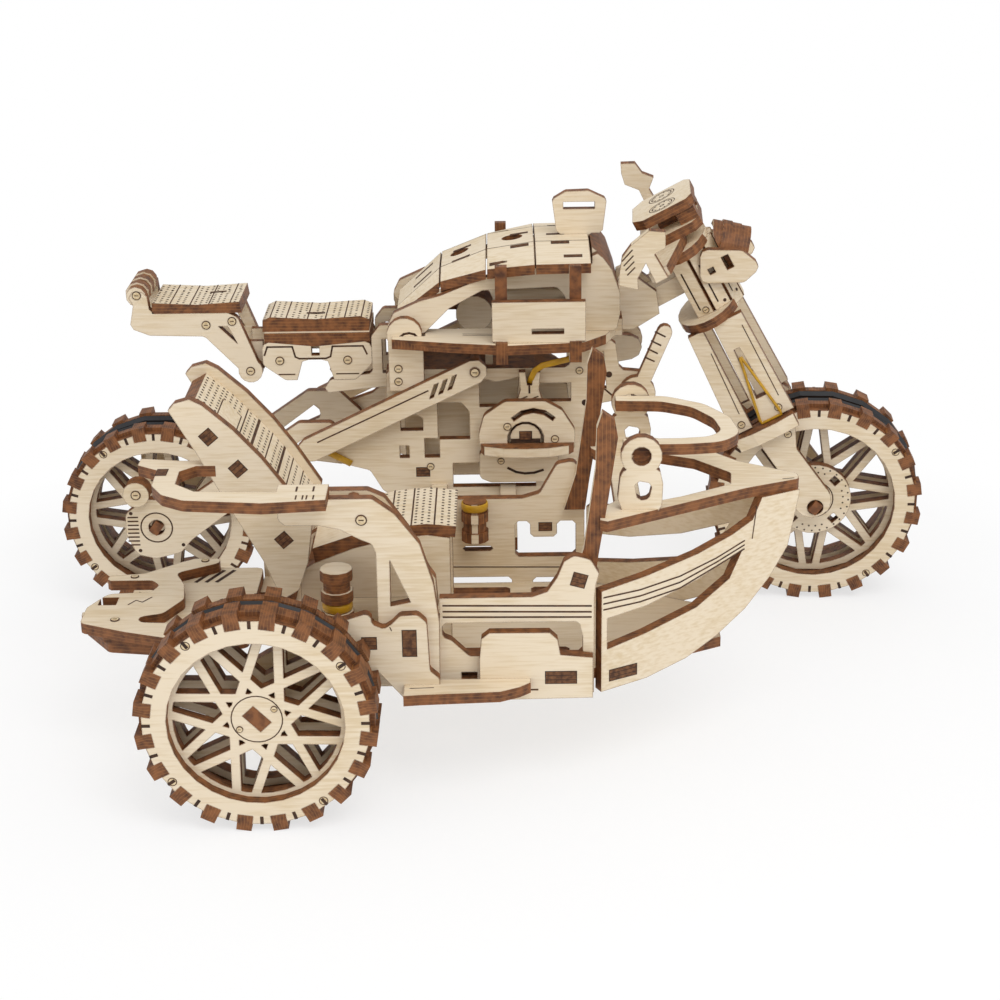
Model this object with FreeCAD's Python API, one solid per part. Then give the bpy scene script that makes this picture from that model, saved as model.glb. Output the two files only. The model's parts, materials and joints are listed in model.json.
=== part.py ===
"""Plywood model kit of a motorcycle with a sidecar, as separate pieces in one frame.

Millimetres. +X is forward, +Y is the bike's left, +Z is up, and the floor is z = 0.
The sidecar stands on the -Y side of the bike. Chassis pieces are drawn with the wheel
centres DRAWN_H above the floor and are lifted to the height the wheels give.
"""

import FreeCAD
import Part
import math
import os

os.makedirs("parts", exist_ok=True)

# the sheet the kit is cut from, and its clearances
PLY = 3.0
FIT = 0.05
PLAY = 0.1
PIN_R = 1.2

# centre planes and places of the wheels
BIKE_Y = 57.3
SIDE_WHEEL_Y = -91.5
REAR_X = -107.1
SIDE_X = -59.5
DRAWN_H = 31.3

# wheels: 20 lugs on every wheel, two of them either side of the contact point
LUGS = 20
LUG_W = 4.0
LUG_OUT = 1.9
LUG_IN = 2.6
SMALL_R = 29.5
FRONT_R = 32.2
RING_DEPTH = 6.6
SHOULDER_OUT = 1.2
SIDE_WIDE = 16.5
REAR_WIDE = 21.0
FRONT_WIDE = 21.0
ORING_R = 1.5
CORD_SUNK = 0.4
CORD_SIDES = 5
SIDES = 40
RIM_SIDES = 30
LUG_HALF = 180.0 / LUGS

# axles: a 6 x 4 tongue in the wheel, 3 x 4 journals in round holes
TONGUE_L = 6.4
TONGUE_W = 4.0
JOURNAL_L = 3.0
JOURNAL_R = 0.5 * math.hypot(JOURNAL_L, TONGUE_W)
HOLE_R = JOURNAL_R + FIT

# the sidecar is drawn about its own datum, and CAR_X and CAR_Y carry it to its place
CAR_X = -0.8
CAR_Y = -1.6

# steering: the fork line leans back and passes through the head point
RAKE = 28.3
STEER_REST = -4.3
HEAD_X = 64.6
HEAD_Z = 108.1


def rest_height(radius):
    """Height of a wheel centre that stands on two lugs."""
    half = math.radians(LUG_HALF)
    return (radius + LUG_OUT) * math.cos(half) + 0.5 * LUG_W * math.sin(half)


SMALL_H = rest_height(SMALL_R)
LIFT = SMALL_H - DRAWN_H
STEER_LEAN = math.sin(math.radians(abs(STEER_REST))) * math.sin(math.radians(RAKE))
FRONT_H = rest_height(FRONT_R) * math.cos(STEER_LEAN) + 0.5 * FRONT_WIDE * STEER_LEAN
REACH = (HEAD_Z + LIFT - FRONT_H) / math.cos(math.radians(RAKE))
FRONT_X = HEAD_X + REACH * math.sin(math.radians(RAKE))

ORIGIN = FreeCAD.Vector(0, 0, 0)
X_AXIS = FreeCAD.Vector(1, 0, 0)
Y_AXIS = FreeCAD.Vector(0, 1, 0)
Z_AXIS = FreeCAD.Vector(0, 0, 1)


def corner(before, here, after, radius):
    """Start, middle and end of the round put on one corner."""
    back = before.sub(here)
    ahead = after.sub(here)
    reach_back = 0.48 * back.Length
    reach_ahead = 0.48 * ahead.Length
    back.normalize()
    ahead.normalize()
    half = 0.5 * back.getAngle(ahead)
    if radius < SHARP or half > 1.5:
        return (here, None, here)
    reach = min(radius / math.tan(half), reach_back, reach_ahead)
    used = reach * math.tan(half)
    bisector = back.add(ahead)
    bisector.normalize()
    centre = here.add(bisector.multiply(used / math.sin(half)))
    toward = here.sub(centre)
    toward.normalize()
    middle = centre.add(toward.multiply(used))
    return (here.add(back.multiply(reach)), middle, here.add(ahead.multiply(reach)))


def outline(points, radius):
    """Closed face from corner points (u, v) or (u, v, own radius).

    A round under SHARP is left a corner, one under FLAT is one flat, one under ARC_FROM is
    two flats, and a larger one is a true arc.
    """
    places = [FreeCAD.Vector(p[0], p[1], 0) for p in points]
    radii = [p[2] if len(p) > 2 else radius for p in points]
    count = len(places)
    edges = []
    spans = []
    for i in range(count):
        spans.append(corner(places[i - 1], places[i], places[(i + 1) % count], radii[i]))
    for i in range(count):
        start, middle, end = spans[i]
        following = spans[(i + 1) % count][0]
        if middle is not None and radii[i] >= ARC_FROM:
            edges.append(Part.Arc(start, middle, end).toShape())
        elif middle is not None and radii[i] < FLAT:
            edges.append(Part.makeLine(start, end))
        elif middle is not None:
            edges.append(Part.makeLine(start, middle))
            edges.append(Part.makeLine(middle, end))
        if end.distanceToPoint(following) > 1e-6:
            edges.append(Part.makeLine(end, following))
    return Part.Face(Part.Wire(edges))


SHARP = 1.0
FLAT = 2.0
ARC_FROM = 5.0


def stood(shape, origin, u_axis, v_axis):
    """Moves a flat-built shape so that its u and v run along the given directions."""
    w_axis = u_axis.cross(v_axis)
    matrix = FreeCAD.Matrix(
        u_axis.x, v_axis.x, w_axis.x, origin.x,
        u_axis.y, v_axis.y, w_axis.y, origin.y,
        u_axis.z, v_axis.z, w_axis.z, origin.z,
        0, 0, 0, 1)
    copy = shape.copy()
    copy.transformShape(matrix)
    return copy


def upright(points, radius, y, thick=PLY):
    """Sheet standing fore and aft: points are (x, z), near face at y, growing to +Y."""
    solid = outline(points, radius).extrude(FreeCAD.Vector(0, 0, -thick))
    return stood(solid, FreeCAD.Vector(0, y, 0), X_AXIS, Z_AXIS)


def level(points, radius, z, thick=PLY):
    """Sheet lying level: points are (x, y), lower face at z."""
    solid = outline(points, radius).extrude(FreeCAD.Vector(0, 0, thick))
    return stood(solid, FreeCAD.Vector(0, 0, z), X_AXIS, Y_AXIS)


def across(points, radius, x, thick=PLY):
    """Sheet standing across: points are (y, z), rear face at x."""
    solid = outline(points, radius).extrude(FreeCAD.Vector(0, 0, thick))
    return stood(solid, FreeCAD.Vector(x, 0, 0), Y_AXIS, Z_AXIS)


def box(x0, x1, y0, y1, z0, z1):
    """Box between two corners."""
    return Part.makeBox(x1 - x0, y1 - y0, z1 - z0, FreeCAD.Vector(x0, y0, z0))


def rod_y(x, z, radius, y0, y1):
    """Round rod across the vehicle."""
    return Part.makeCylinder(radius, y1 - y0, FreeCAD.Vector(x, y0, z), Y_AXIS)


def peg(x, z, radius, y0, y1, sides=12):
    """Many-sided rod across the vehicle, for pins and round plate ends."""
    points = []
    for i in range(sides):
        angle = 2 * math.pi * (i + 0.5) / sides
        points.append((x + radius * math.cos(angle), z + radius * math.sin(angle)))
    return upright(points, 0, y0, y1 - y0)


def bore(x, z, radius, y0, y1, sides=20):
    """Cutter for a round hole across the vehicle, its flats lying on the radius."""
    return peg(x, z, radius / math.cos(math.pi / sides), y0, y1, sides)


def oval(x, y, half_x, half_y, sides=20):
    """Corner points of a many-sided ellipse."""
    turns = [2 * math.pi * (i + 0.5) / sides for i in range(sides)]
    return [(x + half_x * math.cos(turn), y + half_y * math.sin(turn)) for turn in turns]


def column(x, y, radius, z0, z1, sides=12):
    """Many-sided upright rod."""
    return level(oval(x, y, radius, radius, sides), 0, z0, z1 - z0)


def fused(solids):
    """One solid from several that touch."""
    return solids[0].multiFuse(solids[1:]).removeSplitter()


def less(shape, cutters):
    """A shape with several cut out of it."""
    return shape.cut(Part.makeCompound(cutters))


def slot(x0, x1, z0, z1, y):
    """Cutter for a rectangular window through an upright sheet whose near face is at y."""
    return box(x0, x1, y - 1, y + PLY + 1, z0, z1)


def mirrored(shape, y=BIKE_Y):
    """The same piece on the other side of a fore and aft plane."""
    return shape.mirror(FreeCAD.Vector(0, y, 0), Y_AXIS)


def pair(shape, y=BIKE_Y):
    """A piece and its mirror image."""
    return [shape, mirrored(shape, y)]


def moved(shape, x, y, z):
    """Copy of a shape carried by a vector."""
    copy = shape.copy()
    copy.translate(FreeCAD.Vector(x, y, z))
    return copy


def turned(shape, centre, axis, angle):
    """Copy of a shape turned about a line."""
    copy = shape.copy()
    copy.rotate(centre, axis, angle)
    return copy


def round_the_axle(shape, count, step, start=0.5):
    """Copies of a shape turned about the Y axis."""
    return [turned(shape, ORIGIN, Y_AXIS, (i + start) * step) for i in range(count)]


def export(name, solids):
    """Writes one node, as one solid or as several that do not touch."""
    shape = solids[0] if len(solids) == 1 else Part.makeCompound(solids)
    shape.exportStep("parts/" + name + ".step")


def hold(name, solids):
    """Writes a chassis node, lifted to the height that the wheels give."""
    export(name, [moved(one, 0, 0, LIFT) for one in solids])


def hold_car(name, solids):
    """Writes a sidecar node, carried from its own datum to its place beside the bike."""
    export(name, [moved(one, CAR_X, CAR_Y, LIFT) for one in solids])


SPOKE_PAIRS = 8
SPOKE_LEAN = 9.2
SPOKE_FOOT = 6.0
SPOKE_W = 2.45
SPOKE_RIM = 2.4
HUB_R = 6.9
TONGUE_TILT = 36.0


def disc(radius, y0, y1, sides=SIDES):
    """Many-sided round plate about the Y axis, with corners at the middles of the lugs."""
    points = []
    for i in range(sides):
        angle = math.pi / LUGS + 2 * math.pi * i / sides
        points.append((radius * math.sin(angle), radius * math.cos(angle)))
    return upright(points, 0, y0, y1 - y0)


def ring(outer, inner, y0, y1, outer_sides=SIDES, inner_sides=SIDES):
    """Round ring about the Y axis."""
    return disc(outer, y0, y1, outer_sides).cut(disc(inner, y0 - 1, y1 + 1, inner_sides))


def lug(radius, wide):
    """One tread lug: a slip of ply across the tyre, notched into the rings."""
    half = 0.5 * LUG_W
    low = radius - LUG_IN
    high = radius + LUG_OUT
    return box(-half, half, 0, wide, -high, -low)


def tyre_ring(radius, y0, y1):
    """One ring of the tyre, notched for the lugs."""
    half = 0.5 * LUG_W
    notch = box(-half, half, y0 - 1, y1 + 1, -radius - 2, -radius + LUG_IN)
    whole = ring(radius, radius - RING_DEPTH, y0, y1, LUGS, RIM_SIDES)
    return less(whole, round_the_axle(notch, LUGS, 360.0 / LUGS))


def tongue(y0, y1, long, wide, grow=0.0):
    """Flat axle along Y, its long side tilted as in the hub."""
    half_l = 0.5 * long + grow
    half_w = 0.5 * wide + grow
    return turned(box(-half_l, half_l, y0, y1, -half_w, half_w), ORIGIN, Y_AXIS, TONGUE_TILT)


def spoke(outer, lean, y0):
    """One slanting spoke from beside the hub to the rim."""
    half = 0.5 * SPOKE_W
    side = SPOKE_FOOT if lean > 0 else -SPOKE_FOOT
    slat = box(side - half, side + half, y0, y0 + PLY, 0, outer - 1.2)
    return turned(slat, ORIGIN, Y_AXIS, -lean)


def spoke_disc(outer, y0):
    """Disc of sixteen crossing spokes in a thin rim, with a slot for the axle tongue."""
    y1 = y0 + PLY
    pieces = [ring(outer, outer - SPOKE_RIM, y0, y1, LUGS), peg(0, 0, HUB_R, y0, y1, 16)]
    for lean in (SPOKE_LEAN, -SPOKE_LEAN):
        pieces += round_the_axle(spoke(outer, lean, y0), SPOKE_PAIRS, 360.0 / SPOKE_PAIRS, 0)
    return fused(pieces).cut(tongue(y0 - 1, y1 + 1, TONGUE_L, TONGUE_W, FIT))


def rubber_ring(radius, y):
    """Rubber ring about the Y axis, five-sided in section, with its corners inside the lugs."""
    faces = []
    rims = []
    for j in range(CORD_SIDES):
        angle = 2 * math.pi * j / CORD_SIDES
        r = radius + ORING_R * math.cos(angle)
        rims.append((r, y + ORING_R * math.sin(angle)))
    spots = []
    for i in range(LUGS):
        turn = 2 * math.pi * (i + 0.5) / LUGS
        spots.append([FreeCAD.Vector(r * math.sin(turn), v, r * math.cos(turn)) for r, v in rims])
    for i in range(LUGS):
        here = spots[i]
        after = spots[(i + 1) % LUGS]
        for j in range(CORD_SIDES):
            k = (j + 1) % CORD_SIDES
            loop = [here[j], here[k], after[k], after[j], here[j]]
            faces.append(Part.Face(Part.makePolygon(loop)))
    return Part.Solid(Part.Shell(faces))


def wheel(name, radius, wide, spoke_at, cords, place, tilt):
    """All pieces of one wheel, placed by a function."""
    bore = radius - RING_DEPTH
    cord_r = radius + LUG_OUT - CORD_SUNK - ORING_R
    near = tyre_ring(radius, 0, PLY)
    far = tyre_ring(radius, wide - PLY, wide)
    hub_end = bore + 1.2
    core = ring(radius + SHOULDER_OUT, hub_end + PLAY, PLY, wide - PLY, LUGS)
    start = cords[0] - ORING_R - PLAY
    pocket = ring(radius + 3, cord_r - ORING_R - PLAY, start, cords[-1] + ORING_R + PLAY, LUGS, LUGS)
    crowns = round_the_axle(lug(radius, wide), LUGS, 360.0 / LUGS)
    tread = less(fused([core] + crowns), [pocket])
    places = [spoke_at, wide - spoke_at - PLY]
    discs = [spoke_disc(hub_end, y) for y in places]
    discs = [turned(one, ORIGIN, Y_AXIS, tilt) for one in discs]
    export(name + "_rings", [place(near), place(far)])
    export(name + "_tread", [place(tread)])
    export(name + "_spokes", [place(one) for one in discs])
    export(name + "_o_rings", [place(rubber_ring(cord_r, y)) for y in cords])


def place_wheel(x, y, z):
    """Function that carries a wheel piece from the origin to its place."""
    def carry(shape):
        return moved(shape, x, y, z)
    return carry


STEER_DIR = FreeCAD.Vector(-math.sin(math.radians(RAKE)), 0, math.cos(math.radians(RAKE)))
FRONT_HUB = FreeCAD.Vector(FRONT_X, BIKE_Y, FRONT_H)
FRONT_NEAR = -0.5 * FRONT_WIDE
REAR_NEAR = BIKE_Y - 0.5 * REAR_WIDE


def steered(shape):
    """Turns a piece built straight ahead to the rest angle of the steering."""
    return turned(shape, FRONT_HUB, STEER_DIR, STEER_REST)


def place_front(shape):
    """Carries a front wheel piece from the origin to its steered place."""
    return steered(moved(shape, FRONT_X, BIKE_Y + FRONT_NEAR, FRONT_H))


def raked(shape):
    """Carries a piece built with the wheel centre at the origin and the fork along +Z."""
    copy = turned(shape, ORIGIN, Y_AXIS, -RAKE)
    copy.translate(FRONT_HUB)
    return copy


def on_fork(shape):
    """The same for a piece that turns with the fork."""
    return steered(raked(shape))


SIDE_TILT = 10.5
BRAKE_R = 12.0


def axle(y0, y1, hub0, hub1, tilt):
    """Wheel axle: tongue through the wheel, journals that turn in round holes."""
    wide = tongue(hub0, hub1, TONGUE_L, TONGUE_W)
    thin = tongue(y0, y1, JOURNAL_L, TONGUE_W)
    return turned(wide.fuse(thin).removeSplitter(), ORIGIN, Y_AXIS, tilt)


def export_wheels():
    """The three wheels, their axles and the front brake disc."""
    side = place_wheel(SIDE_X + CAR_X, SIDE_WHEEL_Y + CAR_Y, SMALL_H)
    wheel("sidecar_wheel", SMALL_R, SIDE_WIDE, PLY, [9.0], side, SIDE_TILT)
    export("sidecar_axle", [side(axle(PLY, SIDE_WIDE + 12, PLY, SIDE_WIDE - PLY, SIDE_TILT))])
    rear = place_wheel(REAR_X, REAR_NEAR, SMALL_H)
    wheel("rear_wheel", SMALL_R, REAR_WIDE, 2 * PLY, [7.5, 13.5], rear, 0)
    reach = REAR_NEAR - HUB_PLATE_Y + 1
    export("rear_axle", [rear(axle(-reach, REAR_WIDE + reach, 2 * PLY, REAR_WIDE - 2 * PLY, 0))])
    wheel("front_wheel", FRONT_R, FRONT_WIDE, 2 * PLY, [7.5, 13.5], place_front, 0)
    reach = FORK_GAP + PLY + 1
    export("front_axle", [place_front(axle(-reach, FRONT_WIDE + reach, PLY, FRONT_WIDE - 2 * PLY, 0))])
    brake = peg(0, 0, BRAKE_R, PLY, 2 * PLY, 28)
    brake = brake.cut(tongue(0, 3 * PLY, TONGUE_L, TONGUE_W, FIT))
    holes = round_the_axle(slot(-1.4, 1.4, 8.0, 10.4, PLY), 4, 90.0)
    export("front_wheel_brake_disc", [place_front(less(brake, holes))])


# steering, along the fork from the hub
FORK_GAP = 0.5
HUB_PLATE_Y = 40.0
YOKE_LOW = REACH - 14.0
YOKE_HIGH = REACH + 9.0
YOKE_WIDE = 16.5
STEM_R = 3.0
DRUM_R = 10.5
SLAT_W = 5.4
GRIP_Y = 32.5
LAMP_Z = REACH + 1.3
LAMP_X = 14.0
LAMP_R = 8.4


def fork_pieces():
    """End covers, legs and band."""
    near = -0.5 * FRONT_WIDE - FORK_GAP - PLY
    tip = [(-4, -3), (4, -3), (6, 3.5), (3.5, 21), (8.8, 33.5), (-15.7, 33.4), (-6.3, 30), (-4.5, 14)]
    cover = fused([upright(tip, 1.5, near), peg(0.2, 2.6, 6.0, near, near + PLY, 16)])
    cover = cover.cut(bore(0, 0, HOLE_R, near - 1, near + PLY + 1))
    clamp = level([(-12, near - PLY), (-6, near - PLY - 1.2), (2, near - PLY - 1.2), (8, near - PLY), (8, near), (-12, near)],
                  0, 29, 4.5)
    cover = cover.fuse(clamp).removeSplitter()
    export("fork_ends", [on_fork(one) for one in pair(cover, 0)])
    rear = upright([(-10, YOKE_LOW), (-5, YOKE_LOW), (-5.5, 34), (-12, 34)], 0, near)
    front = upright([(-1.5, YOKE_LOW), (8.2, YOKE_LOW), (8.8, 34), (-2.5, 34)], 0, near)
    opening = upright([(0.7, YOKE_LOW - 10), (2.6, YOKE_LOW - 10), (3.4, 42), (-0.2, 42)], 0, near - 1, 5)
    legs = pair(rear, 0) + pair(front.cut(opening), 0)
    export("fork_legs", [on_fork(one) for one in legs])
    band = upright([(-4.5, 34.2), (6, 34.2), (6, 36), (3, 40), (2.4, 58), (0.6, 58), (-0.6, 40), (-4.5, 36)], 0,
                   near - 0.8, 0.8 - PLAY)
    export("fork_band", [on_fork(band)])


def yoke(z, rear, front):
    """Oval level plate that closes the drum."""
    return level(oval(0.5 * (rear + front), 0, 0.5 * (front - rear), YOKE_WIDE), 0, z)


def drum_pieces():
    """Drum round the stem, its yokes, and the stem itself."""
    top = YOKE_HIGH + PLY
    pieces = [yoke(YOKE_LOW, -11.6, 8.6), yoke(YOKE_HIGH, -8.4, 9.2)]
    slat = box(DRUM_R - 2.6, DRUM_R - 0.1, -0.5 * SLAT_W, 0.5 * SLAT_W, YOKE_LOW + 1, YOKE_HIGH + 1)
    for i in range(7):
        side = i - 3
        piece = moved(turned(slat, ORIGIN, Z_AXIS, 34.0 * side), 0, 0, 0)
        pieces.append(piece)
    export("fork_drum", [on_fork(fused(pieces))])
    length = YOKE_HIGH - YOKE_LOW - PLY
    stem = Part.makeCylinder(STEM_R, length, FreeCAD.Vector(0, 0, YOKE_LOW + PLY))
    export("steering_stem", [on_fork(stem)])
    return top


def grip(points, foot, top, y):
    """Cut grip plate on a stalk that stands on the bar."""
    plate = upright([(x, top + z) for x, z in points], 0, y)
    stalk = upright([(foot - 2, top), (foot + 2, top), (foot + 1.5, top + 12.5), (foot - 1.5, top + 12.5)], 0, y)
    return plate.fuse(stalk)


def handlebar_pieces(top):
    """Bar with a cut grip plate at each end, and the two stacked dial plates."""
    bar = level([(-9, -GRIP_Y), (-3, -GRIP_Y), (3, -9), (3, 9), (-3, GRIP_Y), (-9, GRIP_Y), (-6, 9), (-6, -9)],
                0, top)
    near = [(-9.1, 13.8), (-2.5, 15.3), (1.7, 12.6), (-0.5, 8.3), (-6.1, 8.1), (-11.9, 4), (-13.5, 0.7), (-17.9, 4.5),
            (-16.5, 7.2), (-13.2, 11.7)]
    far = [(-8.2, 23), (-4.1, 21), (-3.5, 17), (-0.9, 14), (-4.7, 10.6), (-7, 12.5), (-10.2, 16.3), (-9.5, 20)]
    bar = fused([bar, grip(near, -6, top, -GRIP_Y - 0.5 * PLY), grip(far, -5.5, top, GRIP_Y - 0.9 * PLY)])
    export("handlebar", [on_fork(bar)])
    low = level(oval(0, 0, 8.5, 11, 16), 0, top + PLY)
    high = level(oval(1, 0, 7.5, 10, 16), 0, top + 2 * PLY + 2)
    prop = level([(-4, -4), (4, -4), (4, 4), (-4, 4)], 0, top + PLY + 1, PLY + 2)
    export("instrument_panel", [on_fork(fused([low, high, prop]))])


def lamp_pieces():
    """Stacked round lamp between its two bracket plates."""
    near = -8.6
    plate = [(1, LAMP_Z - 2), (5.8, LAMP_Z + 7.6), (17, LAMP_Z + 1.4), (20, LAMP_Z - 6), (13, LAMP_Z - 8)]
    bracket = upright(plate, 2.2, near - PLY)
    drum = [turned(box(DRUM_R - 3, DRUM_R + PLAY, -3, 3, 0, YOKE_HIGH), ORIGIN, Z_AXIS, 34.0 * i)
            for i in (-3, -2, -1)]
    holes = [slot(10.2, 12.6, LAMP_Z - 2, LAMP_Z + 2.5, near - PLY), slot(4.9, 6.9, LAMP_Z - 1, LAMP_Z + 1, near - PLY)]
    bracket = less(bracket, drum + holes)
    export("headlamp_bracket", [on_fork(one) for one in pair(bracket.Solids[0], 0)])
    layers = []
    step = -2 * near / 5
    for i in range(5):
        radius = LAMP_R - 0.9 * (i % 2)
        layers.append(peg(LAMP_X, LAMP_Z - 0.5, radius, near + i * step, near + (i + 1) * step, 16))
    room = box(-5, DRUM_R + PLAY, -YOKE_WIDE, YOKE_WIDE, 0, 2 * REACH)
    export("headlamp", [on_fork(less(fused(layers), [room]))])


def export_steering():
    """Fork, drum, handlebar and lamp, all turning about the fork line."""
    fork_pieces()
    top = drum_pieces()
    handlebar_pieces(top)
    lamp_pieces()


# frame and tank, by height above the floor as drawn
NEAR_Y = BIKE_Y - 20.3
FAR_Y = BIKE_Y + 20.3
ARM_NEAR = NEAR_Y - 2 * PLY
RAIL_Z = 92.5
RAIL_IN = 41.5
TANK = [
    (-28.5, 101.0, 12.0, 2.0), (-14.8, 113.3, 17.0, 2.6), (-0.5, 118.8, 22.5, 3.0),
    (14.2, 121.0, 26.0, 3.0), (31.0, 121.2, 26.0, 3.0)]
STRIP_Y = 9.5
SEAM = 0.4


def tank_section(station):
    """Section across the tank top, one sheet thick."""
    x, z, half, drop = station
    upper = [(-half, z - drop), (-STRIP_Y, z), (STRIP_Y, z), (half, z - drop)]
    lower = [(y, height - PLY) for y, height in reversed(upper)]
    return [FreeCAD.Vector(x, BIKE_Y + y, height) for y, height in upper + lower]


def between(first, second, share):
    """Station part of the way from one station to the next."""
    return tuple(a + (b - a) * share for a, b in zip(first, second))


def flat_face(points):
    """Face on a closed loop of points."""
    return Part.Face(Part.makePolygon(points + [points[0]]))


def bent(first, second):
    """Solid between two like sections, each side folded along one diagonal."""
    faces = [flat_face(first), flat_face(second)]
    for j in range(len(first)):
        k = (j + 1) % len(first)
        if abs(first[j].y - BIKE_Y) < abs(first[k].y - BIKE_Y):
            faces.append(flat_face([first[j], first[k], second[k]]))
            faces.append(flat_face([first[j], second[k], second[j]]))
        else:
            faces.append(flat_face([first[j], first[k], second[j]]))
            faces.append(flat_face([first[k], second[k], second[j]]))
    return Part.Solid(Part.Shell(faces))


def tank_panel(first, second):
    """One cut panel of the tank top, bent over the side plates."""
    length = second[0] - first[0]
    start = between(first, second, 0.5 * SEAM / length)
    end = between(first, second, 1 - 0.5 * SEAM / length)
    return bent(tank_section(start), tank_section(end))


def export_tank():
    """Tank: panels, side plates, formers with their rails, and the handle."""
    panels = [tank_panel(a, b) for a, b in zip(TANK, TANK[1:])]
    eyes = [column(7.4, BIKE_Y, 3.2, 110, 130, 16), column(-9.0, BIKE_Y, 2.8, 100, 130, 16)]
    half = 0.5 * PLY + PLAY
    handle_slot = box(22 - PLAY, 40, BIKE_Y - half, BIKE_Y + half, 110, 130)
    hold("tank_top", [less(one, eyes + [handle_slot]) for one in panels])
    front = [(31.4, 121.0), (34.7, 118.3), (37.4, 114.6), (39.9, 107.4), (40, 101)]
    arch = [(-31, 98), (-29, 102), (-21, 105.6), (-14.8, 107.2), (-0.5, 112.9), (14.2, 115.6), (31.4, 115.8)] + front + [
        (38.9, 95.5), (24, 95.5), (23.4, 106), (21, 109.5, 2), (-2, 108.7, 2), (-12.1, 103.2), (-19.8, 95.5),
        (-30, 95.5)]
    side = upright(arch, 1.0, NEAR_Y)
    inside = 2 * (BIKE_Y - NEAR_Y - PLY)
    nose = upright(front + [(36.9, 101), (36.7, 106.8), (34.8, 112.6), (31.4, 117.5)], 0, NEAR_Y + PLY, inside)
    ribs = [box(-14.6, -11.6, NEAR_Y + PLY, FAR_Y - PLY, 104.5, 107.6),
            box(-26, -23, NEAR_Y + PLY, FAR_Y - PLY, 95.5, 98)]
    hold("tank_sides", [fused(pair(side) + [nose] + ribs)])
    handle = upright([(21.2, 121.4), (19.8, 132), (24, 134.5), (31, 134.7), (36.7, 132), (35.4, 121.4), (31, 121.4),
                      (31, 117), (23, 117), (23, 121.4)], 1.0, BIKE_Y - 0.5 * PLY)
    handle = handle.cut(upright([(23.3, 129), (33, 129), (33, 131.2), (23.3, 131.2)], 0.9, BIKE_Y - PLY, 2 * PLY))
    hold("tank_handle", [handle])
    rail = level([(-29.5, 30.9), (-11.9, 26.3), (5.4, 22.8), (28.4, 25.2), (35.5, 33), (38.7, RAIL_IN),
                  (-19.5, RAIL_IN), (-19.5, NEAR_Y - PLY), (-29.5, NEAR_Y - PLY)], 0, RAIL_Z)
    posts = [box(x, x + 3.6, 28.2, 31.2, 88.6, 118.2) for x in (2.0, 24.2)]
    tops = fused([rail] + posts)
    panel = upright([(1, 96), (29, 96), (29, 108.2), (1, 108.2)], 0.8, 25.2)
    panel = panel.cut(upright([(12.9, 98.3), (22.5, 98.3), (22.5, 99.9), (12.9, 99.9)], 0.7, 24, 5))
    foot = box(4, 26, 25.2, 28.2, RAIL_Z + 1, 97)
    hold("tank_frame", pair(fused([tops, panel, foot])))


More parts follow.
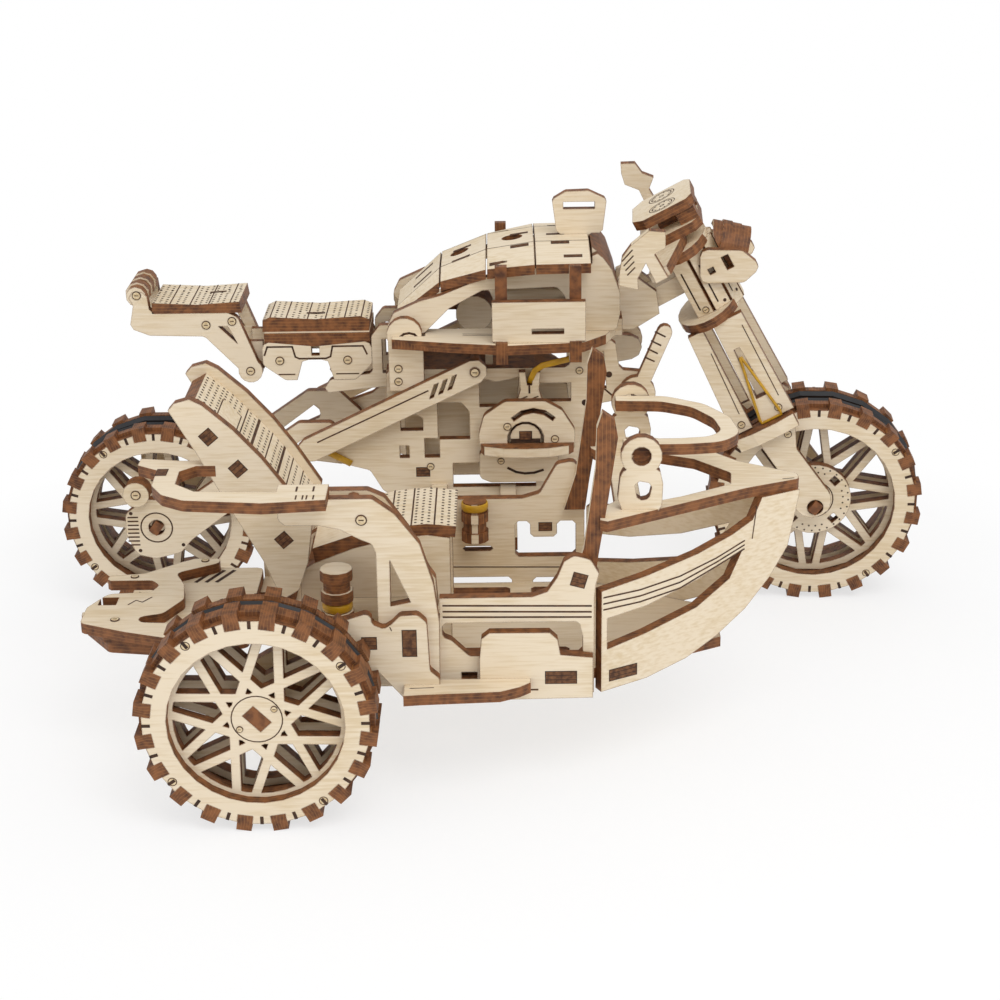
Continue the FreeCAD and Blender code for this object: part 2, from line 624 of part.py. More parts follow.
def export_frame():
    """Side plates of the frame, the engine block between them and its covers."""
    side = [(-32, 84), (-32, 70, 2), (-39, 64), (-49, 60.5, 2), (-49, 54), (-38, 51, 2), (-34, 44), (-28, 41.5),
            (20, 41.5), (28, 46), (30, 60), (33, 72), (49.5, 75, 4), (49.5, 82, 4), (40, 83), (38.5, RAIL_Z),
            (28, RAIL_Z), (24, 84)]
    plate = upright(side, 1.5, NEAR_Y)
    cuts = [[(-3.3, 71.5), (8, 71.5), (9, 81), (2, 79.5), (-3.3, 81)], [(15, 73), (25, 73), (25, 79), (15, 79)],
            [(-16.4, 61), (-6.5, 61), (-6.5, 70), (-9, 73), (-16.4, 73)], [(-20.7, 55), (-16, 55), (-16, 61.4), (-20.7, 61.4)],
            [(-28.5, 55), (-25.5, 55), (-25.5, 59), (-28.5, 59)], [(-28, 64), (-21, 64), (-21, 68), (-28, 72)],
            [(-12, 45), (14, 45), (14, 53), (-12, 53)], [(30, 77), (36, 77), (35, 89), (31, 86)]]
    plate = less(plate, [upright(one, 0.8, NEAR_Y - 1, PLY + 2) for one in cuts])
    plate = plate.cut(bore(PIVOT_X, PIVOT_Z, PIVOT_R + FIT, NEAR_Y - 1, NEAR_Y + PLY + 1, 12))
    hold("frame_plates", pair(plate))
    block = upright([(-27, 46), (20, 46), (26, 58), (24, 76), (14, 80), (-27, 80)], 0, NEAR_Y + 2 * PLY + 2,
                    2 * (BIKE_Y - NEAR_Y - 2 * PLY - 2))
    ties = [box(x, x + 6, NEAR_Y + PLY, FAR_Y - PLY, z, z + 4) for x, z in ((-24, 74), (16, 66), (-24, 48), (16, 48))]
    drum = peg(-4.6, 97.5, 5.8, BIKE_Y - 7, BIKE_Y + 7, 16)
    stand = box(-6.5, 1.0, BIKE_Y - 4, BIKE_Y + 4, PIVOT_Z + 2.5, 95)
    back = box(-1.5, 1.0, BIKE_Y - 4, BIKE_Y + 4, 78, 95)
    shaft_room = bore(PIVOT_X, PIVOT_Z, PIVOT_R + PLAY, 0, 2 * BIKE_Y, 12)
    hold("engine_block", [fused([block, drum, stand, back] + ties).cut(shaft_room)])
    cover = [(-3.4, 60), (10, 57.5), (26, 58.5), (26, 66), (22, 72.5), (16.8, 75.5), (4.5, 75.5), (-2, 71), (-3.6, 65)]
    upper = upright(cover, 2.5, NEAR_Y - 2 * PLY - 1)
    bridge = upright([(-1, 61), (22, 61), (20, 71), (2, 71)], 0, NEAR_Y - PLY - 1, PLY + 1)
    lower = upright([(-3.6, 49), (0, 47.5), (18, 47.5), (21, 50), (21, 58), (-3.6, 58)], 1.2, NEAR_Y - PLY)
    near = NEAR_Y - 2 * PLY - 1
    arc = upright([(7.2, 69.0), (10, 71.0), (13.2, 71.7), (16.4, 71.0), (19.2, 69.0), (20, 70.2), (16.9, 72.5), (13.2, 73.3),
                   (9.5, 72.5), (6.4, 70.2)], 0, near - 1, 5)
    upper = less(upper, [bore(10.8, 63.2, 5.6, near - 1, NEAR_Y, 16), arc])
    dial = peg(10.8, 63.2, 4.8, near + 0.8, near + PLY, 16)
    ledge = level([(-3.0, near), (-2, near - 2.6), (4, near - 4.6), (11, near - 5.2), (18, near - 4.6),
                   (24, near - 2.6), (25.6, near)], 0, 58.9)
    clip = upright([(8.3, 74), (16.2, 74), (15, 78), (15.5, 83.7), (13.4, 83.7), (12.9, 79.5), (11.4, 79.5),
                    (10.9, 83.7), (8.9, 83.7), (9.4, 78)], 0.5, NEAR_Y - PLY - 0.5)
    clip = clip.common(box(0, 30, 0, NEAR_Y, 70, 90))
    cover = fused([upper, bridge, lower, dial, ledge, clip])
    hold("engine_covers", pair(cover))
    eye = peg(44.9, 78.3, 5.5, 27.3, 27.3 + PLY, 16)
    stud = peg(44.9, 78.3, 2.4, 27.3 + PLY, NEAR_Y, 12)
    lever = fused([bar((45.6, 98.6), (55.0, 84.2), 4.4, 27.3), bar((55.0, 84.2), (46, 79), 4.0, 27.3), eye, stud])
    hold("foot_levers", pair(lever))
    pivot = fused([peg(-25.8, 95.8, 5.4, NEAR_Y - PLY, NEAR_Y, 16),
                   upright([(-30.8, 78), (-20.1, 78), (-20.1, 94), (-30.8, 94)], 0.8, NEAR_Y - PLY)])
    hold("tank_pivots", pair(pivot))


PIVOT_X = -4.5
PIVOT_Z = 84.8
PIVOT_R = 1.6
ARM_END_X = -56.0
ARM_END_Z = 60.0


def export_rear():
    """Upper arms, lower arms with the hub plates, and the drive band."""
    arm = bar((PIVOT_X, PIVOT_Z), (ARM_END_X, ARM_END_Z), 7.6, ARM_NEAR)
    slots = [upright([(x, z), (x + 1.4, z + 0.6), (x + 3.0, z + 5.2), (x + 1.6, z + 4.6)], 0, ARM_NEAR - 1, PLY + 2)
             for x, z in ((-18.6, 76.3), (-15.8, 77.6), (-13.0, 78.9))]
    pin = peg(ARM_END_X + 1, ARM_END_Z + 0.5, 2.2, ARM_NEAR + PLY, HUB_PLATE_Y, 12)
    arm = fused([less(arm, slots), pin])
    far = mirrored(arm)
    shaft = peg(PIVOT_X, PIVOT_Z, PIVOT_R, ARM_NEAR - 0.5, 2 * BIKE_Y - ARM_NEAR + 0.5)
    hold("swing_arms", [fused([arm, far, shaft])])
    plate = [(-116.7, 36), (-110, 41), (-97.8, 40), (-60, 66, 2), (-50, 66, 2), (-42, 58), (-46, 52), (-60, 54),
             (-96, 27), (-100, 22.5), (-108, 20.5), (-114, 22), (-117, 29)]
    plate = upright(plate, 2.0, HUB_PLATE_Y)
    plate = plate.cut(upright([(-66, 52.5), (-56, 57), (-57, 62), (-88, 39), (-86, 36.5)], 1, HUB_PLATE_Y - 1, PLY + 2))
    shoe = peg(-112.3, 43.6, 4.2, HUB_PLATE_Y - PLY, HUB_PLATE_Y + PLY, 16)
    hub = peg(REAR_X, DRAWN_H, 8.2, HUB_PLATE_Y, HUB_PLATE_Y + PLY, 16)
    hub = fused([plate, shoe, hub])
    hub = hub.cut(bore(REAR_X, DRAWN_H, HOLE_R, HUB_PLATE_Y - 4, HUB_PLATE_Y + 4))
    hold("rear_hub_plates", pair(hub))


def export_seats():
    """Rider seat, passenger seat with its brackets and roll, and the frame behind."""
    pad = upright([(-70.6, 93.3), (-70.4, 97), (-68, 98), (-54, 97.2), (-40, 98), (-37.2, 97), (-37.4, 93.3)], 0.5,
                  BIKE_Y - 9.3, 18.6)
    hold("rider_seat_pad", [pad])
    near = BIKE_Y - 11.0
    seat = [(-70.8, 90.3, 2), (-70.8, 83, 2), (-64, 78, 2), (-42, 78, 2), (-36.7, 83), (-36.7, 90.3, 2)]
    cheek = upright(seat, 2, near)
    notch = upright([(-60.6, 77), (-48.5, 77), (-50.5, 84), (-52.5, 84.6), (-56.5, 84.6), (-58.5, 84)], 0, near - 1, 5)
    cheek = less(cheek, [notch, slot(-55.5, -53, 86, 89, near)])
    deck = box(-70, -37.2, near + PLY, 2 * BIKE_Y - near - PLY, 90.3 - PLY, 90.3)
    cap = box(-70, -37.2, near, 2 * BIKE_Y - near, 90.3, 93.3)
    tube = peg(-46, 83, 2.5, near + PLY, 2 * BIKE_Y - near - PLY, 10)
    seat_box = fused(pair(cheek) + [deck, cap, tube])
    hold("rider_seat_box", [seat_box])
    link = upright([(-36.7, 92), (-34, 95.5), (-28.2, 95.5), (-28.2, 76), (-53, 73.5), (-50, 78), (-36.7, 80)], 1,
                   near)
    link = link.cut(upright([(-33.5, 80), (-31, 80), (-31, 91), (-33.5, 91)], 0.8, near - 1, PLY + 2))
    web = box(-31, -28.2, near + PLY, 2 * BIKE_Y - near - PLY, 78, 92)
    ear = box(-32, -28.2, NEAR_Y + PLY, near, 79, 83)
    hold("seat_link", [fused(pair(link) + [web] + pair(ear)).cut(seat_box)])
    bracket = [(-112, 107), (-109.8, 103), (-111.4, 95.5), (-105.4, 93.1), (-88.4, 92.6), (-78.5, 82), (-75.1, 77.4),
               (-71, 80.5), (-77.8, 98.6), (-80.7, 100.1), (-104.8, 100.1), (-105.5, 107)]
    side = upright(bracket, 1.5, near)
    eye = upright([(-84, 95.8), (-78.2, 90), (-81, 95.8)], 0, near - 1, PLY + 2)
    side = fused([side.cut(eye), peg(-74.8, 81.2, 3.8, near, near + PLY, 16)])
    side = side.fuse(box(-76, -70.8, near + PLY, near + PLY + 2, 81, 90)).removeSplitter()
    hold("passenger_seat_brackets", pair(side))
    pad = upright([(-104.2, 100.1), (-104, 103.5), (-90, 102.8), (-77, 103.6), (-76.5, 100.1)], 0.4, near, 22)
    roll = [peg(-108.7, 105.6, 3.1 + 0.7 * (i % 2), near + i * 22 / 7, near + (i + 1) * 22 / 7, 10) for i in range(7)]
    roll = fused(roll).cut(fused(pair(side)))
    ties = box(-104, -80, near + PLY, 2 * BIKE_Y - near - PLY, 97.1, 100.1)
    hold("passenger_seat", [fused([pad, ties]), roll.Solids[0]])


def bar(start, end, wide, y, thick=PLY):
    """Straight upright slat between two (x, z) points, with clipped ends."""
    run = FreeCAD.Vector(end[0] - start[0], 0, end[1] - start[1])
    half = 0.5 * wide
    flat = [(-half, -half), (run.Length + half, -half), (run.Length + half, half), (-half, half)]
    solid = turned(upright(flat, half, 0, thick), ORIGIN, Y_AXIS, -math.degrees(math.atan2(run.z, run.x)))
    return moved(solid, start[0], y, start[1])


def export_head():
    """Bracket that carries the steering stem."""
    low = REACH - 3.0
    tongue_in = box(-24, 4.6, -4.6, 4.6, low, low + 2 * PLY)
    tongue_in = tongue_in.cut(Part.makeCylinder(STEM_R + FIT, 30, FreeCAD.Vector(0, 0, low - 5)))
    neck = moved(raked(tongue_in), 0, 0, -LIFT)
    cheek = upright([(36.9, 92), (45, 92), (53, 97), (52, 104), (44, 110), (39.9, 108), (39.9, 101), (36.9, 101)], 0,
                    BIKE_Y - 4.6 - PLY)
    cheek = cheek.cut(box(30, 40.05, 0, 99, 100.9, 120))
    foot = box(37, 41.0, RAIL_IN, 2 * BIKE_Y - RAIL_IN, RAIL_Z, 98)
    hold("steering_head", [fused([neck, foot] + pair(cheek))])


def export_bike():
    """Everything on the motorcycle that does not turn."""
    export_tank()
    export_frame()
    export_rear()
    export_seats()
    export_head()


# sidecar
HULL_NEAR = -68.5
HULL_FAR = -8.5
SEAT_NEAR = -54.0
SEAT_FAR = -21.0
MID_Y = 0.5 * (HULL_NEAR + HULL_FAR + PLY)
NOSE_X = 84.0
BOW_X = 28.0
DECK_Z = 30.0
RIM_Z = 73.4
BOW_RUN = NOSE_X - BOW_X
BOW_HALF = MID_Y - HULL_NEAR - 2.0
BOW_LEN = math.hypot(BOW_RUN, BOW_HALF)
BOW_TURN = math.degrees(math.atan2(BOW_HALF, BOW_RUN))
STACK_X = -3.8
STACK_R = 4.0
RING_NEAR = -60.0
EYE_X = 40.5
EYE_Z = 91.2
HOOP_Z = 90.4


def hull_near():
    """Near hull side: rail, webs and lower plate with its raised blank panel."""
    side = [(-24, 29), (-24, 50), (-12.6, 50), (-12.6, 55.5), (11.8, 55.6), (15.7, 57), (18.3, 61), (20.1, 65.5),
            (22.7, 67.2, 2), (27, 66, 2), (29.2, 62), (28.4, 58.9), (28.0, 55), (28, 27.4), (-2, 27), (-13.2, 28.5)]
    plate = upright(side, 0.8, HULL_NEAR)
    window = upright([(-12, 48.3), (-12, 44.3), (-9.7, 43.3), (-5, 38.6), (25, 38.6), (25, 44), (24, 48.3)], 1, HULL_NEAR - 1, 5)
    hump = upright([(-2.3, 27), (-2.3, 38.8), (-1.7, 45), (0.4, 46.7), (16.2, 46.6), (18.3, 44.5), (19, 40.1),
                    (27.6, 39.2), (27.6, 27.4)], 0.8, HULL_NEAR - PLY)
    return fused([less(plate, [window, slot(-7.2, -3, 31.9, 33.9, HULL_NEAR)]), hump])


def hull_far():
    """Far hull side with its raised post plate."""
    side = [(-66, 27.5), (28, 27.5), (28, 66), (25, 71, 2), (20, 70, 2), (15, 61), (10, 59.5), (-48, 59.5), (-66, 48)]
    plate = upright(side, 1.2, HULL_FAR)
    windows = [[(7.8, 41.2), (25.5, 41.2), (25.5, 52.4), (20, 52.4), (20, 47.4), (12.2, 47.4), (12.2, 52.4), (7.8, 52.4)],
               [(-7.5, 43.2), (1.3, 43.2), (1.3, 44.7), (-7.5, 44.7)]]
    gaps = [[(-12.4, 26), (6.7, 26), (6.7, 34.8), (-12.4, 34.8)], [(12.9, 26), (25.5, 26), (25.5, 34.5), (12.9, 34.5)]]
    plate = less(plate, [upright(one, 1, HULL_FAR - 1, PLY + 2) for one in windows + gaps])
    stack = [column(STACK_X, HULL_FAR - STACK_R, STACK_R - 0.6 * (i % 2), 48.6 + i * PLY, 48.6 + (i + 1) * PLY)
             for i in range(4)]
    foot = box(STACK_X - 2, STACK_X + 2, HULL_FAR - STACK_R, HULL_FAR, 48.6, 57.6)
    return fused([plate, foot] + stack)


def bow_plate():
    """Near bow side, drawn along the hull: strip above, keel below, stem at the end."""
    end = BOW_LEN
    side = [(0.2, 27.4), (14.3, 28.1), (27, 31), (36.5, 35.3), (46, 41.5), (54, 49.5), (59.5, 57.5), (end - 0.7, 72),
            (end - 0.7, RIM_Z), (50.3, RIM_Z), (47.5, 67.5), (41, 64.5), (30, 61.2), (14, 58.3), (0.2, 56.8)]
    window = [(2, 39.6), (14, 41.6), (30, 45.5), (40.5, 51.7), (44.5, 59.5), (30, 53.6), (14, 49.6), (2, 48.6)]
    plate = upright(side, 0, 0).cut(upright(window, 0, -1, PLY + 2))
    plate = turned(plate, ORIGIN, Z_AXIS, BOW_TURN)
    return moved(plate, BOW_X + 0.35 + PLY * math.sin(math.radians(BOW_TURN)), HULL_NEAR, 0)


def export_hull():
    """Hull sides, bow, floor, rim and screen posts."""
    near = hull_near()
    far = hull_far()
    hold_car("hull_sides", [near, far])
    bow = bow_plate()
    half_space = box(0, 200, -200, MID_Y - 0.2, 0, 200)
    bow = bow.common(half_space)
    bows = pair(bow, MID_Y)
    hold_car("bow_plates", bows)
    floor = level([(-56, HULL_NEAR + PLY), (28, HULL_NEAR + PLY), (64, MID_Y - 10), (64, MID_Y + 10), (28, HULL_FAR),
                   (-56, HULL_FAR)], 0, DECK_Z)
    windows = [level([(x0, y0), (x1, y0), (x1, y1), (x0, y1)], 1, DECK_Z - 1, 5)
               for x0, x1, y0, y1 in ((-13.7, 6.1, -20, -12), (12.3, 22, -20, -12), (-13.7, 6.1, -64, -52),
                                      (12.3, 22, -64, -52))]
    fat = [moved(one, dx, 0, 0) for one in bows for dx in (0, 0.3)]
    hold_car("floor", [less(floor, windows + fat).Solids[0]])
    rim = level([(29.5, HULL_NEAR - 0.5), (70, MID_Y - 8.5), (85, MID_Y - 2), (85, MID_Y + 2), (70, MID_Y + 12),
                 (58, MID_Y + 27), (46, MID_Y + 33), (29.5, MID_Y + 33), (29.5, MID_Y + 24), (34, MID_Y + 17),
                 (34, MID_Y - 17), (29.5, MID_Y - 22)], 1.2, RIM_Z)
    hole = level([(41, MID_Y - 19), (52, MID_Y - 14), (66, MID_Y - 5.5), (67, MID_Y + 3), (58, MID_Y + 14),
                  (48, MID_Y + 19), (41, MID_Y + 19)], 2, RIM_Z - 1, PLY + 2)
    post = [(30, 105.3), (33.2, 103), (34, 98.5), (31.7, 82.1), (29.2, 66), (28, 57), (22, 57), (25.4, 68),
            (28.4, 90.4), (28.6, 101)]
    near_post = upright(post, 0.8, HULL_NEAR + PLY)
    posts = [near_post, mirrored(near_post, MID_Y)]
    hold_car("windscreen_posts", posts)
    brackets = ring_brackets()
    hold_car("bow_rim", [less(rim, [hole] + posts + brackets)])
    return posts, brackets


def ring_brackets():
    """Pair of plates with an eye above a half-round loop."""
    eye = peg(EYE_X, EYE_Z, 5.4, RING_NEAR, RING_NEAR + PLY, 16)
    loop = [(35, 85.6), (34.4, 79.5), (36.5, RIM_Z), (43.5, RIM_Z), (46, 77.5), (46.2, 83.6), (45.3, 87.6), (36, 87.6)]
    bracket = fused([eye, upright(loop, 1, RING_NEAR)])
    dark = [(38.6, 84.6), (43.5, 83.6), (42.6, 79.4), (39.6, 78.8)]
    holes = [peg(EYE_X, EYE_Z, 2.6, RING_NEAR - 1, RING_NEAR + PLY + 1, 12), upright(dark, 1, RING_NEAR - 1, PLY + 2)]
    return pair(less(bracket, holes), MID_Y)


def grip_hoop():
    """Level hoop held between the eyes of the ring brackets."""
    near = RING_NEAR + PLY
    far = 2 * MID_Y - near
    outer = [(36, near), (52, near, 5), (62, near + 1.2, 9), (67.4, near + 8, 9), (66, near + 21, 9), (60, near + 32, 9),
             (50, far - 1, 9), (36, far)]
    inner = [(36, near + 4.5), (51, near + 4.5, 5), (59, near + 5.6, 6), (62.6, near + 10, 6), (61.4, near + 20, 9),
             (56.4, near + 29.5, 9), (48.5, far - 5.6, 9), (36, far - 4.5)]
    inner = [(34, near + 4.5)] + inner[1:-1] + [(34, far - 4.5)]
    return level(outer, 0, HOOP_Z).cut(level(inner, 0, HOOP_Z - 1, PLY + 2))


def export_cockpit():
    """Seat, cushion, hoop, fender, axle carrier, grab bar, footboard, struts and rack."""
    posts, brackets = export_hull()
    hold_car("grip_hoop", [less(grip_hoop(), posts)])
    hold_car("ring_brackets", brackets)
    side = [(-82.3, 103.4), (-80.6, 105.3), (-76.6, 106.4), (-73.4, 104.7), (-65.8, 97.8), (-58.9, 89.9), (-53.3, 82),
            (-46.4, 70.8), (-48, 60), (-50.8, 51.9), (-55.5, 49), (-60, 60.8), (-67.7, 75.3), (-75.6, 91.2)]
    side = upright(side, 0.8, SEAT_NEAR)
    hold_car("seat_sides", pair(side, MID_Y))
    span = 2 * (MID_Y - SEAT_NEAR - PLY)
    back = upright([(-80.5, 101.3), (-76.5, 103.6), (-70, 98), (-58, 84.5), (-48.6, 70.5), (-49.2, 64), (-62, 82),
                    (-73, 96)], 0, SEAT_NEAR + PLY, span)
    hold_car("seat_back_pad", [back])
    cushion = upright([(-47, 62.5), (-36, 66.2), (-25, 68.5), (-16, 69.2), (-8.2, 68.4), (-8.6, 65.2), (-16, 66.2),
                       (-25, 65.4), (-36, 62.6), (-46.5, 58.5)], 0, SEAT_NEAR + PLY + 0.5, span - 1)
    hold_car("seat_cushion", [cushion])
    prop = upright([(-51, DECK_Z + PLY), (-44, DECK_Z + PLY), (-40, 48), (-18, 48), (-16, DECK_Z + PLY),
                    (-10, DECK_Z + PLY), (-10, 65.3), (-16, 66.2), (-25, 65.4), (-36, 62.6), (-46.5, 58.5), (-50.5, 56)],
                   0, SEAT_NEAR + PLY)
    cross = box(-49, -46, SEAT_NEAR + 2 * PLY, 2 * MID_Y - SEAT_NEAR - 2 * PLY, 36, 56)
    hold_car("cushion_supports", [fused(pair(prop, MID_Y) + [cross])])
    top = [(-53, 85), (-53.3, 79.5), (-51.6, 77.8), (-43.1, 77.8), (-37.6, 76.6), (-32.5, 73.8), (-29.5, 72.5),
           (-28.5, 70), (-28.6, 50), (-24, 36), (-23, 29.5), (-12.9, 29.5), (-12.6, 50), (-13.9, 61), (-17.2, 72.3),
           (-23.4, 80.7), (-29.1, 85)]
    outer = upright(top, 1, HULL_NEAR - PLY)
    outer = outer.cut(upright([(-25, 67.9), (-19.9, 55.9), (-25.2, 54.8)], 0.6, HULL_NEAR - PLY - 1, PLY + 2))
    arc = upright([(-53, 82), (-32, 81.5), (-26, 78), (-20, 70), (-16.5, 60), (-16, 51), (-12.9, 51), (-13.5, 60),
                   (-15.1, 62.4), (-20, 73.8), (-26.2, 83), (-30.5, 85), (-53, 85)], 1, HULL_NEAR + PLY)
    pins = [peg(x, z, 1.8, HULL_NEAR, HULL_NEAR + PLY, 10) for x, z in ((-34, 82.8), (-50, 83.2))]
    hold_car("fender", [fused([outer, arc] + pins)])
    carrier = [(-66, 38, 3), (-58, 43), (-44.2, 49.2), (-39.6, 51.5), (-31.8, 54), (-30.2, 53.4), (-30.1, 51.1),
               (-27, 49.7), (-24.9, 51.1), (-22.7, 53.4), (-18.1, 53.6), (-15.8, 51.3), (-15.3, 37.4), (-12.8, 35.1),
               (-12.9, 29.2), (-22.1, 29.2), (-29, 37.5), (-42, 36), (-52, 27), (-60, 22, 3), (-66, 26, 3)]
    carrier = upright(carrier, 1, HULL_NEAR - 2 * PLY)
    hub = peg(SIDE_X, DRAWN_H, 7.5, HULL_NEAR - 2 * PLY, HULL_NEAR - 1, 16)
    post = upright([(-56, DECK_Z), (-24, DECK_Z), (-24, 46), (-40, 46), (-56, 42)], 0, HULL_NEAR)
    carrier = fused([carrier, hub]).cut(bore(SIDE_X, DRAWN_H, HOLE_R, HULL_NEAR - 9, HULL_NEAR + 5))
    spacer = box(-54, -44, HULL_NEAR - PLY, HULL_NEAR, 39, 44)
    hold_car("axle_carrier", [fused([carrier, post, spacer])])
    grab = level([(-85.8, -57), (-85.5, -68, 3), (-82, -74.5, 3), (-76, -78.6, 3), (-56, -81.2), (-40, -79.4),
                  (-40, -68.5), (-53, -68.5), (-53, -73.5), (-74, -72.4), (-79.5, -67), (-79.8, -58), (-76, -54.1),
                  (-71, -54.1), (-71, -50), (-80, -50), (-91.5, -48), (-91.5, -53)], 0.8, 85.0)
    hold_car("grab_bar", [grab.cut(side)])
    board = level([(-22.2, -74), (-22.2, -80.9), (-17.9, -80.4), (3, -79.2), (8.2, -76.6), (11.1, -74), (11.1, -71.5),
                   (-12.9, -71.5), (-12.9, -74.5)], 0.6, 30.4)
    hold_car("footboard", [board.cut(carrier)])
    struts = [upright([(x, 42), (x + 5, 42), (x + 5, 46), (x, 46)], 0, HULL_FAR + PLY, NEAR_Y - CAR_Y - HULL_FAR - PLY)
              for x in (-18.0, 3.5)]
    hold_car("sidecar_struts", struts)
    shape = [(-114, -38), (-97, -36), (-88, -28), (-90, -16), (-81, -8), (-74, -9), (-66, -9), (-66, -50), (-80, -56),
             (-104, -52)]
    layers = [level(shape, 2, 33)]
    layers.append(level([(x - 1.2 if x < -70 else x, y) for x, y in shape], 2, 33 + PLY))
    layers.append(rack_top())
    rack = less(fused(layers), [bore(SIDE_X, DRAWN_H, HOLE_R + 2, -90, 0, 12)])
    arm = box(-66, -56, -20, HULL_FAR, 33, 36)
    hold_car("rear_rack", [fused([rack, arm]).cut(far_of_hull())])
    shock = []
    for i in range(5):
        shock.append(column(-40, HULL_NEAR + 8, 4.4 - 0.8 * (i % 2), 46 + i * PLY, 46 + (i + 1) * PLY))
    rod = column(-40, HULL_NEAR + 8, 1.5, DECK_Z + PLY, 46, 8)
    hold_car("sidecar_shock", [fused(shock + [rod])])


def rack_top():
    """Top plate of the rack, an S with a slot open at each side."""
    shape = [(-111.3, -52, 2), (-111.3, -42, 3), (-107, -33, 3), (-95, -32, 2), (-93.5, -27.5, 2), (-96, -24, 2),
             (-109, -24), (-109, -20.5), (-99, -19), (-90, -11.5, 3), (-86, -8.7), (-78.7, -8.7), (-78.2, -12, 3),
             (-90, -19, 2), (-86.5, -27, 5), (-85, -37, 5), (-89.5, -46.5, 3), (-96, -48.5, 2), (-95, -52, 2),
             (-82, -53), (-82, -57), (-86.5, -62), (-98, -58)]
    plate = level(shape, 1, 33 + 2 * PLY)
    return plate.cut(level([(-108.5, -40.5), (-103.5, -40.5), (-103.5, -35.5), (-108.5, -35.5)], 0, 34, 9))


def far_of_hull():
    """Cutter that keeps the rack clear of the far hull side."""
    return box(-100, 40, HULL_FAR, HULL_FAR + 40, 20, 60)


export_wheels()
export_steering()
export_bike()
export_cockpit()
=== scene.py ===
"""Looks of a laser-cut plywood sidecar motorcycle kit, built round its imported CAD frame.

The CAD nodes carry the shape. This script gives every cut face birch veneer and every cut
edge laser-burnt plies, and adds what is engraved, pinned or tenoned on the sheets.
Lengths are in millimetres unless a name ends in _m, in the frame: +X forward, +Y the bike's
left, +Z up.
"""

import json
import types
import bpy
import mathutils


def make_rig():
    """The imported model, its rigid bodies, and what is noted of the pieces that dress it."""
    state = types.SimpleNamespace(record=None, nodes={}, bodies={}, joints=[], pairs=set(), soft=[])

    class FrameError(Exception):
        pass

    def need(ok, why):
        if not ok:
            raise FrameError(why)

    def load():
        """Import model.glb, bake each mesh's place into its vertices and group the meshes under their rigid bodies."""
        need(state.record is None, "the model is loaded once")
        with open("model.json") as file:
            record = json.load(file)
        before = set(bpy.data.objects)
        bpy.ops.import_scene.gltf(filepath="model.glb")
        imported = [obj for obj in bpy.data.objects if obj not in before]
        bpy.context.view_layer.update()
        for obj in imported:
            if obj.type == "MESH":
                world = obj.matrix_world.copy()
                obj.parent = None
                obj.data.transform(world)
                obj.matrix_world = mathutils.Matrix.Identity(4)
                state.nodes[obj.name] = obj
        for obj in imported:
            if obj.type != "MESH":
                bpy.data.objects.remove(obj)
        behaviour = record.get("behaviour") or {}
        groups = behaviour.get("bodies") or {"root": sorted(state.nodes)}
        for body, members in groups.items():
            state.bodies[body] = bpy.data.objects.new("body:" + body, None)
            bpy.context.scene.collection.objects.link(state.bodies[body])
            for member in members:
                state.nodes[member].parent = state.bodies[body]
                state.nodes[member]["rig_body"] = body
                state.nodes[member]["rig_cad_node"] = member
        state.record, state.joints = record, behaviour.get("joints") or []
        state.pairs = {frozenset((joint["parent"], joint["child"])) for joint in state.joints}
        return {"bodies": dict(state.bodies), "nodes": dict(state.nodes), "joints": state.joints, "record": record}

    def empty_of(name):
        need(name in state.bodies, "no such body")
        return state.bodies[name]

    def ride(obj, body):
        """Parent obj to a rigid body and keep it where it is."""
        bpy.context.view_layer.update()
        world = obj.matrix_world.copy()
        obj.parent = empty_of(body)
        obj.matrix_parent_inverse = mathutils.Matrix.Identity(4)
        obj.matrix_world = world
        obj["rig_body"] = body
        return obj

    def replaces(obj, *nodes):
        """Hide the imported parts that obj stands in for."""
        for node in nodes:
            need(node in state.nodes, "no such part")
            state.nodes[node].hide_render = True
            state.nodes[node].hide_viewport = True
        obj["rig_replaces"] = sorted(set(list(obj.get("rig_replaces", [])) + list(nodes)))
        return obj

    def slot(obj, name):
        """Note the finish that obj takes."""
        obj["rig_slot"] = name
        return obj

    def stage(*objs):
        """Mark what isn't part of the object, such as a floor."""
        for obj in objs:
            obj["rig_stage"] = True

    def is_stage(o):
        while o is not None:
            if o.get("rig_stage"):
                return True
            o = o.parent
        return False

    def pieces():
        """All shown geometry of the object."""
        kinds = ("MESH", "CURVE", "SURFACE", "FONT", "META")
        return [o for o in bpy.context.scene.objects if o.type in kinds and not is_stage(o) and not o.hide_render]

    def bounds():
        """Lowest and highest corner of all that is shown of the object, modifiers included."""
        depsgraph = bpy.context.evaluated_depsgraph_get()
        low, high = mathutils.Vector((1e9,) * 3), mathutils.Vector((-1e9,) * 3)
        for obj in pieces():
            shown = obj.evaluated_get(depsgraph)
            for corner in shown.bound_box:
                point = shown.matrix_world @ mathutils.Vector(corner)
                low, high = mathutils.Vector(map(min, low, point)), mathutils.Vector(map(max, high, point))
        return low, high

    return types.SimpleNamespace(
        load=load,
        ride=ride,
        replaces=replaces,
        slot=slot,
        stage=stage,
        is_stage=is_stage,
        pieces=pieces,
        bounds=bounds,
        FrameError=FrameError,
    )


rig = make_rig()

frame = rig.load()

import json
import logging
import math
from dataclasses import dataclass, field
from enum import Enum
from typing import Callable

import bpy
import numpy as np
from mathutils import Matrix, Vector

logging.basicConfig(level=logging.INFO, format="%(message)s")
log = logging.getLogger("scene")

Array = np.ndarray
Point = tuple[float, float]
Point3 = tuple[float, float, float]
Quad = tuple[float, float, float, float]

